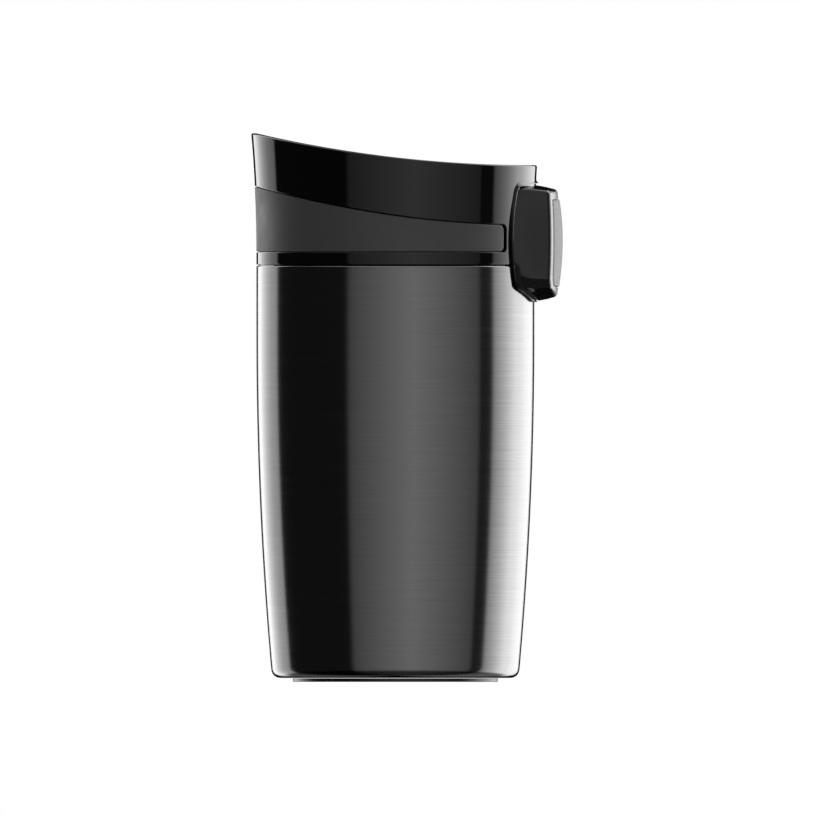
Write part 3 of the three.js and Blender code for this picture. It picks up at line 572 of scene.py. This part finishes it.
def lid_columns(angles):
    """The lid's section at every angle, as rows of [radius, height] from its lower edge to its inside."""
    rim = on_curve(rim_top, angles)
    flat = 0 * angles
    lower_edge = [(LID_WALL, -0.25), (0.7, -0.25), (0.6, 0), (0.25, 0), (0.07, 0.07)]
    rows = [(BODY_RADIUS - depth + flat, LID_BOTTOM_Z + rise + flat) for depth, rise in lower_edge]
    for z in wall_heights(angles, LID_BOTTOM_Z + 0.35, rim - 0.7):
        depth = groove_depth(inside_outline(angles, z, GROOVE_END_X, 0))
        rows.append((lid_radius(z) - depth, z))
    outer, inner = lid_radius(rim), dish_radius(rim)
    quarter = np.linspace(0, 1, 7) * math.pi / 2
    for turn in quarter[1:]:
        r = outer - LIP_OUTER_ROUNDING * (1 - math.cos(turn))
        rows.append((r, rim - LIP_OUTER_ROUNDING * (1 - math.sin(turn))))
    for turn in quarter:
        r = inner + LIP_INNER_ROUNDING * (1 - math.sin(turn))
        rows.append((r, rim - LIP_INNER_ROUNDING * (1 - math.cos(turn))))
    side_end = DISH_CONE_LOW[1] + 0.4
    for z in [*between(rim - 1, side_end, 16), side_end + flat]:
        rows.append((dish_radius(z), z))
    floor_start = DISH_CONE_LOW[1] + 0.3
    floor = rounded([
        (dish_radius(floor_start), floor_start),
        (28.6, DISH_FLOOR_Z, 2.2),
        (14, DISH_FLOOR_Z),
        (PORT_RADIUS, DISH_FLOOR_Z, 0.3),
        (PORT_RADIUS, PORT_LEDGE_Z),
        (PORT_LEDGE_RADIUS, PORT_LEDGE_Z),
        (PORT_LEDGE_RADIUS, DISH_UNDERSIDE_Z),
        (30.5, DISH_UNDERSIDE_Z),
        (31.6, 131.8),
        (37.1, 142.3),
        (lid_radius(141) - LID_WALL, 141),
        (lid_radius(130) - LID_WALL, 130),
    ])
    rows += [(r + flat, z + flat) for r, z in floor]
    return rows


def in_lever_opening(x, y, z):
    """True inside the opening in the lid's outer wall that the lever passes through."""
    in_outer_wall = x > 30 and math.hypot(x, y) > 36
    narrowing = OPENING_CURVE * (z - FRONT_MIDDLE_Z) ** 2 + 0.6 * max(0, z - OPENING_SHOULDER_Z)
    return in_outer_wall and abs(y) < OPENING_HALF - narrowing and POCKET_FLOOR_Z < z < POCKET_TOP_Z


def make_lid():
    """The glossy lid: its flared wall with the band's groove, the lip, and the drinking dish."""
    angles = lid_azimuths()
    rows = np.array([polar(r, angles, z) for r, z in lid_columns(angles)])
    skin = Skin().grid(rows, close_rows=True)
    points = np.array(skin.points)
    middles = [points[list(face)].mean(axis=0) for face in skin.faces]
    skin.faces = [face for face, middle in zip(skin.faces, middles) if not in_lever_opening(*middle)]
    return skin.object("lid")


def make_band():
    """The silicone grip band: flush with the lid, with rounded edges and a foot in its groove."""
    full = lid_azimuths()
    end = math.acos(GROOVE_END_X / BODY_RADIUS)
    angles = full[(full > end + 0.002) & (full < TURN - end - 0.002)]
    upper = on_curve(band_top, angles)
    past_gap = np.array([0.0, 0.04, 0.1, 0.2, BAND_ROUNDING, 0.5, 0.7, 0.9, 1.1, 1.35, CORNER])
    steps = np.concatenate([[0.12], BAND_GAP + past_gap])
    heights = [BAND_BOTTOM_Z + step + 0 * angles for step in steps]
    heights += between(BAND_BOTTOM_Z + steps[-1], upper - steps[-1], 11)
    heights += [upper - step for step in steps[::-1]]
    rows = []
    for z in heights:
        inside = inside_outline(angles, z, BAND_END_X, BAND_GAP)
        short = np.clip(BAND_ROUNDING - inside, 0, BAND_ROUNDING)
        soft = BAND_ROUNDING - np.sqrt(np.maximum(0, BAND_ROUNDING**2 - short**2))
        sunk = np.where(inside < 0, GROOVE_DEPTH - BAND_PROUD, soft)
        rows.append(polar(lid_radius(z) + BAND_PROUD - sunk, angles, z))
    for z in (heights[-1], heights[0]):
        rows.append(polar(lid_radius(z) - GROOVE_DEPTH + 0.02, angles, z))
    rows = np.array(rows)
    skin = Skin().grid(rows, close_rows=True, close_columns=False)
    return skin.cap(rows[:, 0], flip=True).cap(rows[:, -1]).object("band", sharp=50)


# ---------- the lever and the collar round it ----------
def shield(half, top, drop, radius, side_bottom, corner, bottom_half, bottom, bulge=0, lean=0, softening=0):
    """The lever's outline in Y and Z, always with the same number of points.

    half is half its width low down, and less by lean at the shoulder. drop is how far the shoulder lies
    below the top, and radius rounds it. The side ends at side_bottom, corner takes it in from there, and
    a slope runs on to the bottom edge. bulge bows the side outwards, and softening evens out the corners.
    """
    shoulder = top - drop
    middle = (shoulder - radius + side_bottom) / 2
    upper = half - lean

    def bend(a, b, c, count):
        t = np.linspace(0, 1, count, endpoint=False)[:, None]
        return (1 - t) ** 2 * np.array(a) + 2 * t * (1 - t) * np.array(b) + t**2 * np.array(c)

    def straight(a, c, count):
        return bend(a, (np.array(a) + np.array(c)) / 2, c, count)

    low = (half - corner[0], side_bottom - corner[1])
    right = np.concatenate([
        straight((0, bottom), (bottom_half, bottom), 10),
        straight((bottom_half, bottom), low, 10),
        straight(low, (half, side_bottom), 5),
        bend((half, side_bottom), (half + 2 * bulge, middle), (upper, shoulder - radius), 36),
        bend((upper, shoulder - radius), (upper, shoulder), (upper - radius, shoulder), 8),
        bend((upper - radius, shoulder), (half / 2, shoulder + drop * 0.9), (0, top), 20),
    ])
    left = np.concatenate([[(0, top)], right[:0:-1] * (-1, 1)])
    outline = np.concatenate([right, left])
    for _ in range(softening):
        outline = (np.roll(outline, 1, axis=0) + 2 * outline + np.roll(outline, -1, axis=0)) / 4
    return outline


COLLAR_BULGE = 1.575


def collar_outline(inset, lift=0.0):
    """The collar's outline where it meets the lid, moved in by a distance. Only its top is lifted."""
    return shield(
        half=20.3 - inset,
        top=140.2 - 0.4 * inset + lift,
        drop=0.6 + 0.22 * inset,
        radius=3.0 - 1.3 * inset,
        side_bottom=110.8 + inset / 2,
        corner=(1.6, 1.0),
        bottom_half=9 - inset / 4,
        bottom=106.6 + inset,
        bulge=COLLAR_BULGE,
        lean=1.67 * inset - 0.5,
        softening=2,
    )


def root_outline(bottom):
    """The outline of the lever where it enters the collar."""
    return shield(
        half=19.35,
        top=139.55,
        drop=0.8,
        radius=1.3,
        side_bottom=113.3,
        corner=(1.9, 2.8),
        bottom_half=7,
        bottom=bottom,
        bulge=COLLAR_BULGE,
        lean=0.45,
    )


def front_outline(inset):
    """The outline of the lever's front, moved in by a distance."""
    return shield(
        half=18.3 - inset,
        top=138.35 - inset,
        drop=0.35,
        radius=max(0.5, 1.5 - inset / 3),
        side_bottom=113 + inset * 0.3,
        corner=(1.6, 2.6),
        bottom_half=5 - inset / 4,
        bottom=107.9 + inset,
    )


def about(outline, scale):
    """An outline made larger or smaller round the middle of the lever's front."""
    middle = np.array([0, FRONT_MIDDLE_Z])
    return middle + (outline - middle) * scale


def raised(outline, height, scale=1.0, dome=0.0, curve=FRONT_CURVE):
    """An outline laid on the lever's bowed front, higher by the dome towards its middle."""
    points = about(outline, scale)
    x = front_x(points[:, 0], points[:, 1], height + dome * (1 - scale**2), curve)
    return np.column_stack([x, points])


def wrapped(outline, radius):
    """An outline wrapped on an upright round surface whose radius depends on the height."""
    y, z = outline[:, 0], outline[:, 1]
    return np.column_stack([np.sqrt(radius(z) ** 2 - y**2), y, z])


def step_at(z, edge, below, above, soft=0.8):
    """Passes smoothly from one value to another at a height."""
    share = 1 / (1 + np.exp(-(z - edge) / (soft / 4)))
    return below + (above - below) * share


def raised_wall(outline, radius):
    """An outline drawn on the lid's side, moved straight out from the axis to another radius."""
    y, z = outline[:, 0], outline[:, 1]
    return polar(radius(z), np.arcsin(y / lid_radius(z)), z)


def make_collar():
    """The raised collar round the lever, which hangs below the lid over the steel."""

    def root(below):
        return lambda z: step_at(z, LID_BOTTOM_Z + 0.1, APRON_BACK, lid_radius(z) - below, soft=0.5)

    def rim(below):
        return lambda z: step_at(z, 138.2, 39.9, 40.25, soft=3) - below

    def inside(z):
        return np.where(z > POCKET_FLOOR_Z, 36.9, APRON_FRONT - 0.1)

    walls = [  # inset, lift and radius from the lid's surface out to the rim and a little way back in
        (0, 0.95, root(0.25)),
        (0, 0.85, root(-0.03)),
        (0, 0.4, root(-0.12)),
        (0, 0.12, root(-0.34)),
        (0.02, 0, rim(0.3)),
        (0.04, 0, rim(0.12)),
        (0.08, -0.1, rim(0.03)),
        (0.14, -0.15, rim(0)),
        (0.24, 0, rim(0.12)),
        (0.5, 0, rim(0.42)),
        (0.56, 0, rim(0.5)),
    ]
    loops = [
        wrapped(collar_outline(0.3, 0.6), lambda z: np.where(z > LID_BOTTOM_Z, 37.2, APRON_BACK)),
        *[raised_wall(collar_outline(inset, lift), radius) for inset, lift, radius in walls],
        wrapped(collar_outline(0.6, 0.25), inside),
    ]
    return Skin().grid(np.array(loops), close_rows=True).object("collar", sharp=50)


def make_apron():
    """The matt inner face of the collar behind the lever's lower half."""

    def behind(below, above):
        return lambda z: step_at(z, POCKET_FLOOR_Z, below, above, soft=0.2)

    sill = collar_outline(0.55)
    sill[:, 1] = np.minimum(sill[:, 1], SILL_TOP_Z)
    low = np.array([0, 113.0])
    scales = (0, 0.2, 0.4, 0.6, 0.72, 0.76, 0.9, 1)
    front = [wrapped(low + (sill - low) * s, behind(APRON_FRONT, 38.2)) for s in scales]
    back = [wrapped(low + (sill - low) * s, behind(APRON_BACK, 37.4)) for s in scales[::-1]]
    return Skin().grid(np.array(front + back), close_rows=True).object("apron", sharp=50)


def lever_back(z):
    """Radius of the lever's back edge: inside the lid's wall, and in front of the apron below it."""
    radius = step_at(z, POCKET_FLOOR_Z + 0.5, 40.15, 38.7, soft=0.6)
    return radius - step_at(z, 136.8, 0, 0.9, soft=0.8)


def lever_section(outline, share):
    """An outline of the lever that share of the way from its back edge to its front."""
    back = wrapped(outline, lever_back)
    x = (1 - share) * back[:, 0] + share * front_x(outline[:, 0], outline[:, 1], -0.25)
    return np.column_stack([x, outline])


def make_lever():
    """The lever: a hollow cap with a bevelled front, its hub, and the arm that ends in a fork."""
    root, lip, front = root_outline(107.7), root_outline(107), front_outline(-0.12)
    outer = [
        lever_section(root, 0),
        lever_section(root, 0.03),
        lever_section(lip, 0.1),
        lever_section((lip + front) / 2, 0.6),
        raised(front_outline(0), -0.12),
        raised(front_outline(0.03), 0.02),
        raised(front_outline(0.12), 0.16),
        raised(front_outline(0.42), 0.56),
        raised(front_outline(0.5), 0.62),
        raised(front_outline(0.56), 0.6),
        raised(front_outline(0.58), 0.5),
        raised(front_outline(0.58), 0.02),
        *[raised(front_outline(0.62), 0.0, s) for s in (0.98, 0.8, 0.6, 0.4, 0.2, 0)],
    ]
    inner = [
        *[raised(front_outline(2.0), -1.7, s) for s in (0, 0.3, 0.6, 0.9, 1)],
        wrapped(0.08 * np.array([0, 124.5]) + 0.92 * root, lambda z: lever_back(z) + 0.05),
    ]
    skin = Skin().grid(np.array(outer + inner), close_rows=True)
    x, z = PIVOT
    hub_low, hub_high = HUB_SIDES
    skin.box((x + 1, hub_low, z - HUB_WEB), (FRONT_X - 1.6, hub_high, z + HUB_WEB))
    skin.box((ARM["fork_x"] - 1, -ARM["half"], ARM["bottom"]), (x - 1, ARM["half"], ARM["top"]))
    for side in (-1, 1):
        low, high = sorted((side * ARM["gap"], side * ARM["fork"]))
        skin.box((0, low, z - 0.6), (ARM["fork_x"], high, ARM["top"]))
        barrel(skin, (0, z), ARM["tip"], low, high)
    barrel(skin, PIVOT, HUB_RADIUS, hub_low, hub_high)
    return skin.object("lever", sharp=20)


def barrel(skin, centre, radius, y0, y1, sides=40):
    """A short round bar along Y."""
    angles = np.arange(sides) * TURN / sides
    profile = rounded([(0, y0), (radius, y0, 0.2), (radius, y1, 0.2), (0, y1)], steps=3)
    r, y = profile[:, 0, None], profile[:, 1, None]
    x, z = centre
    rows = [x + r * np.cos(angles), y + 0 * angles, z + r * np.sin(angles)]
    return skin.grid(np.stack(rows, axis=-1))


def make_bezel():
    """The silver ring set into the lever's front."""
    section = [
        (0.64, 0.12), (0.64, 0.66), (0.7, 0.78), (0.84, 0.84), (1.2, 0.87), (1.7, 0.9),
        (2.2, 0.93), (2.6, 0.95), (2.7, 0.9), (2.74, 0.76), (2.74, 0.12),
    ]
    loops = [raised(front_outline(inset), height) for inset, height in section]
    return Skin().grid(np.array(loops), close_rows=True).object("bezel", sharp=60)


def make_plate():
    """The domed plate that the thumb presses: a little proud of its ring, and bowed a little more."""
    dome = PLATE_HIGH[0] - FRONT_X - PLATE_EDGE - 0.02

    def edge(inset, below, scale=1.0):
        outline = front_outline(PLATE_INSET + inset)
        return raised(outline, PLATE_EDGE - below, scale, dome, PLATE_CURVE)

    scales = (1, 0.93, 0.85, 0.75, 0.6, 0.45, 0.3, 0.15, 0)
    loops = [
        *[raised(front_outline(PLATE_INSET), 0.14, s) for s in (0, 0.5, 1)],
        *[edge(inset, below) for inset, below in ((0, 0.42), (0.04, 0.3), (0.32, 0.04), (0.42, 0))],
        *[edge(0.52, 0, s) for s in scales],
    ]
    return Skin().grid(np.array(loops), close_rows=True).object("plate", sharp=60)


# ---------- inside the lid ----------
PLUG_TOP_Z = 119.2
PLUG_FLOOR = 1.6
PLUG_SKIRT_RADIUS = 34.2
PLUG_NECK_RADIUS = 32.4
RISER_RADIUS = 13
RISER_OUTER_RADIUS = 14.6
GUIDE_LOW_Z = 105.5
GASKET_LOW_Z = 103.35
GASKET_TOP_Z = SEAT_TOP_Z
SPRING_LOW_Z = 110.0
SPRING_HEIGHT = 11.2
SPRING_TURNS = 6


def make_plug():
    """The screw-in plug: threaded skirt, floor with the valve's port, riser tube and stem guide."""
    low, high = PLUG_LOW[2], PLUG_HIGH[2]
    floor = low + PLUG_FLOOR
    profile = rounded([
        (PLUG_NECK_RADIUS, PLUG_TOP_Z),
        (PLUG_HIGH[0], PLUG_TOP_Z, 0.3),
        (PLUG_HIGH[0], LID_BOTTOM_Z + 0.1, 0.3),
        (PLUG_SKIRT_RADIUS, LID_BOTTOM_Z + 0.1, 0.4),
        (PLUG_SKIRT_RADIUS, GASKET_TOP_Z + 0.3, 0.4),
        (PLUG_NECK_RADIUS, GASKET_TOP_Z + 0.3, 0.2),
        (PLUG_NECK_RADIUS, GASKET_LOW_Z - 0.15, 0.2),
        (33, GASKET_LOW_Z - 0.15, 0.2),
        (33, low, 0.4),
        (9.5, low, 0.3),
        (9.5, floor),
        (RISER_RADIUS, floor, 0.3),
        (RISER_RADIUS, high, 0.2),
        (RISER_OUTER_RADIUS, high, 0.2),
        (RISER_OUTER_RADIUS, floor, 0.6),
        (30.9, floor, 0.8),
        (30.9, 105, 0.8),
        (PLUG_NECK_RADIUS, 106.5, 0.8),
        (PLUG_NECK_RADIUS, PLUG_TOP_Z - 0.1),
    ], steps=3)
    skin = revolve(Skin(), profile, segments=144)
    add_thread(skin, PLUG_THREAD_Z, PLUG_SKIRT_RADIUS - 0.2, PLUG_THREAD_CREST)
    guide = rounded([
        (2.3, GUIDE_LOW_Z),
        (4, GUIDE_LOW_Z, 0.3),
        (4.8, GUIDE_LOW_Z + 3),
        (4.8, GUIDE_LOW_Z + 4, 0.3),
        (2.3, GUIDE_LOW_Z + 4),
    ], steps=3)
    revolve(skin, guide, segments=48)
    for sixth in (1, 3, 5):
        skin.box((4.2, -0.8, GUIDE_LOW_Z), (RISER_RADIUS + 0.5, 0.8, GUIDE_LOW_Z + 3), sixth * TURN / 6)
    return skin.object("plug")


def ring_piece(name, corners, segments=144):
    """A round piece with rounded corners, open in the middle."""
    profile = rounded([*corners, corners[0]], steps=3)
    return revolve(Skin(), profile[:-1], segments=segments).object(name)


def disc_piece(name, corners, segments=96):
    """A round piece whose profile starts and ends on the axis."""
    return revolve(Skin(), rounded(corners, steps=4), segments=segments, closed=False).object(name)


def make_flow_cap():
    """The cap in the dish's port, cut through by eight drinking slots."""
    low, high = PORT_LEDGE_Z + 0.1, DISH_FLOOR_Z + 0.5
    edge = PORT_RADIUS - 0.2
    inner, outer, slots = 5.6, 9.6, 8
    angles = np.linspace(0, TURN, 192, endpoint=False)
    place_in_slot = np.abs((angles * slots / TURN) % 1 - 0.5)
    open_share = place_in_slot < 0.3
    radii = [0, 3.0, 3.6, 4.6, inner, outer, 10.4, edge - 0.8, edge - 0.2, edge]
    rises = [1.2, 0.95, 0, 0, 0, 0, 0, 0, -0.2, -0.6]
    top = [polar(r, angles, high + rise + 0 * angles) for r, rise in zip(radii, rises)]
    base = [polar(r, angles, low + 0 * angles) for r in radii]
    skin = Skin().grid(np.array(top + base[::-1]), close_rows=True)
    count = len(angles)
    last_row = 2 * len(radii) - 1
    slot_row = radii.index(inner)
    under_row = last_row - 1 - slot_row
    kept = []
    for number, face in enumerate(skin.faces):
        row, column = divmod(number, count)
        cut = open_share[column] and open_share[(column + 1) % count]
        if not (cut and row in (slot_row, under_row)):
            kept.append(face)
    for column in range(count):
        after = (column + 1) % count
        if not open_share[column]:
            continue
        if open_share[after]:
            for row in (slot_row, slot_row + 1):
                above, below = row * count, (last_row - row) * count
                kept.append((above + column, above + after, below + after, below + column))
        if not (open_share[after] and open_share[column - 1]):
            end_rows = (slot_row, slot_row + 1, under_row, under_row + 1)
            kept.append(tuple(row * count + column for row in end_rows))
    skin.faces = kept
    return skin.object("flow_disc", sharp=30)


def make_valve_stem():
    """The stem that carries the valve's plate, with the collar that holds the seal down."""
    low, high = STEM_LOW[2], STEM_HIGH[2]
    plate_top = low + 1.6
    return disc_piece("stem", [
        (0, low), (6, low, 0.8), (10.9, low + 0.8, 0.5), (10.9, plate_top, 0.2), (2, plate_top, 0.3),
        (2, 102), (2.8, 102, 0.1), (2, 103), (2, high, 0.5), (0, high),
    ])


def make_valve_seal():
    """The soft ring that closes the plug's port from below."""
    low, high = SEAL_LOW[2], SEAL_HIGH[2]
    return ring_piece("seal", [
        (2.1, low), (11.4, low, 0.2), (12.4, high - 0.5, 0.3), (12.4, high, 0.15), (2.1, high),
    ])


def make_spring_cap():
    """The cap on the stem: the spring bears on its flange from below, and the lever's fork from above."""
    return disc_piece("cap", [
        (0, 128.6), (1.8, 128.5, 0.9), (2.8, 127, 0.5), (2.9, 123.1, 0.3), (5.8, 123.1, 0.3),
        (5.8, 121.7, 0.3), (3.2, 121.7, 0.3), (3.2, 119, 0.3), (2.1, 119), (2.1, 124.7), (0, 124.7),
    ])


def make_valve_spring(radius=4.1, wire=0.38, steps=168):
    """The coil that holds the valve shut: closed ends and an open middle."""
    share = np.linspace(0, 1, steps + 1)
    heights = SPRING_LOW_Z + SPRING_HEIGHT * (share - 0.06 * np.sin(TURN * share))
    coil = polar(radius, share * SPRING_TURNS * TURN, heights)
    return tube(Skin(), coil, wire).object("coil_spring")


# ---------- assembly ----------
def build_mug():
    """The steel body, the cup inside it and the pad under it."""
    place(make_shell(), "mug", "brushed_black_steel", BLACK_STEEL, "outer_shell")
    place(make_liner(), "mug", "bare_steel", BARE_STEEL, "inner_liner")
    place(make_foot(), "mug", "foot_rubber", RUBBER, "foot_pad")


def build_seal():
    """The gasket between the lid and the cup, which rises with the lid but doesn't turn."""
    gasket = ring_piece("gasket", [
        (32.6, GASKET_TOP_Z), (34.15, GASKET_TOP_Z, 0.3), (34.15, 104.3, 0.3),
        (33.2, GASKET_LOW_Z, 0.3), (32.6, GASKET_LOW_Z),
    ])
    place(gasket, "neck_seal", "seal_silicone", SEAL, "neck_gasket")


def build_lid():
    """The pieces that are fixed in the lid."""
    place(make_lid(), "lid", "gloss_black", GLOSS_BLACK, "lid_shell")
    place(make_collar(), "lid", "gloss_black", GLOSS_BLACK)
    place(make_apron(), "lid", "gloss_black", MATT_BLACK)
    place(make_band(), "lid", "grip_silicone", SILICONE, "grip_band")
    place(make_plug(), "lid", "inner_plastic", PLASTIC, "lid_plug")
    place(make_flow_cap(), "lid", "inner_plastic", PLASTIC, "flow_cap")
    low, high = PLUG_HIGH[2] + 0.05, DISH_UNDERSIDE_Z - 0.05
    riser = ring_piece("riser_ring", [
        (RISER_RADIUS, low),
        (RISER_OUTER_RADIUS, low, 0.2),
        (RISER_OUTER_RADIUS, high, 0.2),
        (RISER_RADIUS, high),
    ])
    place(riser, "lid", "seal_silicone", SEAL, "riser_gasket")


def build_lever():
    """The lever's three visible pieces, which the glossy lid beside them doesn't mirror."""
    pieces = [
        place(make_lever(), "lever", "gloss_black", LEVER_BLACK, "lever_body"),
        place(make_bezel(), "lever", "satin_aluminium", SILVER, "lever_bezel"),
        place(make_plate(), "lever", "satin_aluminium", PLATE_SILVER, "lever_plate"),
    ]
    for piece in pieces:
        piece.visible_glossy = False


def build_valve():
    """Everything that goes down when the lever is pressed."""
    place(make_valve_stem(), "valve", "inner_plastic", PLASTIC, "valve_stem")
    place(make_valve_seal(), "valve", "seal_silicone", SEAL, "valve_seal")
    place(make_spring_cap(), "valve", "inner_plastic", PLASTIC, "spring_cap")
    place(make_valve_spring(), "valve", "spring_steel", SPRING_STEEL, "valve_spring")


def finish_cad_nodes():
    """The pieces that stay as the frame has them get their finished materials."""
    finishes = {
        "base_plate": BARE_STEEL,
        "vacuum_seal": SOLDER,
        "getter": SOLDER,
        "arm_boot": SEAL,
        "lever_pin": SPRING_STEEL,
        "lever_spring": SPRING_STEEL,
    }
    for node, material in finishes.items():
        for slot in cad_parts[node].material_slots:
            slot.material = material


# ---------- the studio ----------
VIEW_WIDTH = 228.7  # of the picture, in the object's plane
VIEW_CENTRE = (3.4, 77.0)


def add_camera():
    """A level camera in front of the mug, without perspective."""
    data = bpy.data.cameras.new("camera")
    data.type = "ORTHO"
    data.ortho_scale = VIEW_WIDTH * MM
    data.clip_end = 10
    camera = bpy.data.objects.new("camera", data)
    camera.location = (VIEW_CENTRE[0] * MM, -1.5, VIEW_CENTRE[1] * MM)
    camera.rotation_euler = (math.pi / 2, 0, 0)
    bpy.context.collection.objects.link(camera)
    bpy.context.scene.camera = camera


def add_floor():
    """A wide pale floor that gives the mug something to stand on."""
    reach = (-3000, 3000)
    rows = np.array([[(x, y, -0.05) for x in reach] for y in reach])
    floor = Skin().grid(rows, close_columns=False).object("floor")
    material, _, shader = new_material("floor", (0.9, 0.9, 0.9), 0.8)
    shader.inputs["Emission Color"].default_value = (1, 1, 1, 1)
    shader.inputs["Emission Strength"].default_value = 0.75
    floor.data.materials.append(material)
    floor.visible_glossy = False


# Brightness of the studio round the mug, by direction: degrees from the camera's side, positive towards +X.
STUDIO = [
    (-180, 0.0),
    (-163, 0.0),
    (-160, 2.4),
    (-151, 2.5),
    (-139, 1.85),
    (-128, 1.3),
    (-117.5, 1.1),
    (-115, 0.022),
    (-42, 0.022),
    (-38, 0.24),
    (15, 0.66),
    (74, 0.23),
    (76, 0.045),
    (88, 0.045),
    (91, 1.0),
    (104, 2.0),
    (119, 3.3),
    (138, 3.3),
    (152, 2.6),
    (160, 2.0),
    (163, 0.0),
    (180, 0.0),
]
STUDIO_PEAK = 3.4
OVERHEAD = 0.9
UNDERNEATH = 0.12  # share of the brightness left in directions well below level


def add_studio():
    """Soft lights and dark gaps all round, bright overhead, dark underneath, and a white backdrop."""
    world = bpy.data.worlds.new("studio")
    bpy.context.scene.world = world
    world.use_nodes = True
    tree = world.node_tree
    tree.nodes.clear()

    def math_node(operation, a, b):
        node = tree.nodes.new("ShaderNodeMath")
        node.operation = operation
        for socket, value in zip(node.inputs, (a, b)):
            if isinstance(value, (int, float)):
                socket.default_value = value
            else:
                tree.links.new(value, socket)
        return node.outputs["Value"]

    where = tree.nodes.new("ShaderNodeTexCoord")
    axes = tree.nodes.new("ShaderNodeSeparateXYZ")
    tree.links.new(where.outputs["Generated"], axes.inputs["Vector"])
    azimuth = math_node("ARCTAN2", axes.outputs["X"], math_node("MULTIPLY", axes.outputs["Y"], -1.0))
    around = math_node("ADD", math_node("DIVIDE", azimuth, TURN), 0.5)
    ramp = tree.nodes.new("ShaderNodeValToRGB")
    while len(ramp.color_ramp.elements) < len(STUDIO):
        ramp.color_ramp.elements.new(0.5)
    for element, (degrees, level) in zip(ramp.color_ramp.elements, STUDIO):
        element.position = degrees / 360 + 0.5
        element.color = (*[level / STUDIO_PEAK] * 3, 1)
    tree.links.new(around, ramp.inputs["Fac"])
    height = axes.outputs["Z"]
    overhead = map_range(tree, height, (0.55, 0.85), (0.0, OVERHEAD / STUDIO_PEAK), "SMOOTHSTEP")
    below = map_range(tree, height, (-0.5, -0.38), (UNDERNEATH, 1.0))
    brightness = math_node("MULTIPLY", math_node("MAXIMUM", ramp.outputs["Color"], overhead), below)
    lights = tree.nodes.new("ShaderNodeBackground")
    tree.links.new(brightness, lights.inputs["Color"])
    lights.inputs["Strength"].default_value = STUDIO_PEAK
    backdrop = tree.nodes.new("ShaderNodeBackground")
    backdrop.inputs["Color"].default_value = (1, 1, 1, 1)
    sight = tree.nodes.new("ShaderNodeLightPath")
    mix = tree.nodes.new("ShaderNodeMixShader")
    tree.links.new(sight.outputs["Is Camera Ray"], mix.inputs["Fac"])
    tree.links.new(lights.outputs["Background"], mix.inputs[1])
    tree.links.new(backdrop.outputs["Background"], mix.inputs[2])
    out = tree.nodes.new("ShaderNodeOutputWorld")
    tree.links.new(mix.outputs["Shader"], out.inputs["Surface"])


add_camera()
add_floor()
add_studio()
build_mug()
build_seal()
build_lid()
build_lever()
build_valve()
finish_cad_nodes()
bpy.context.scene.view_settings.view_transform = "Standard"
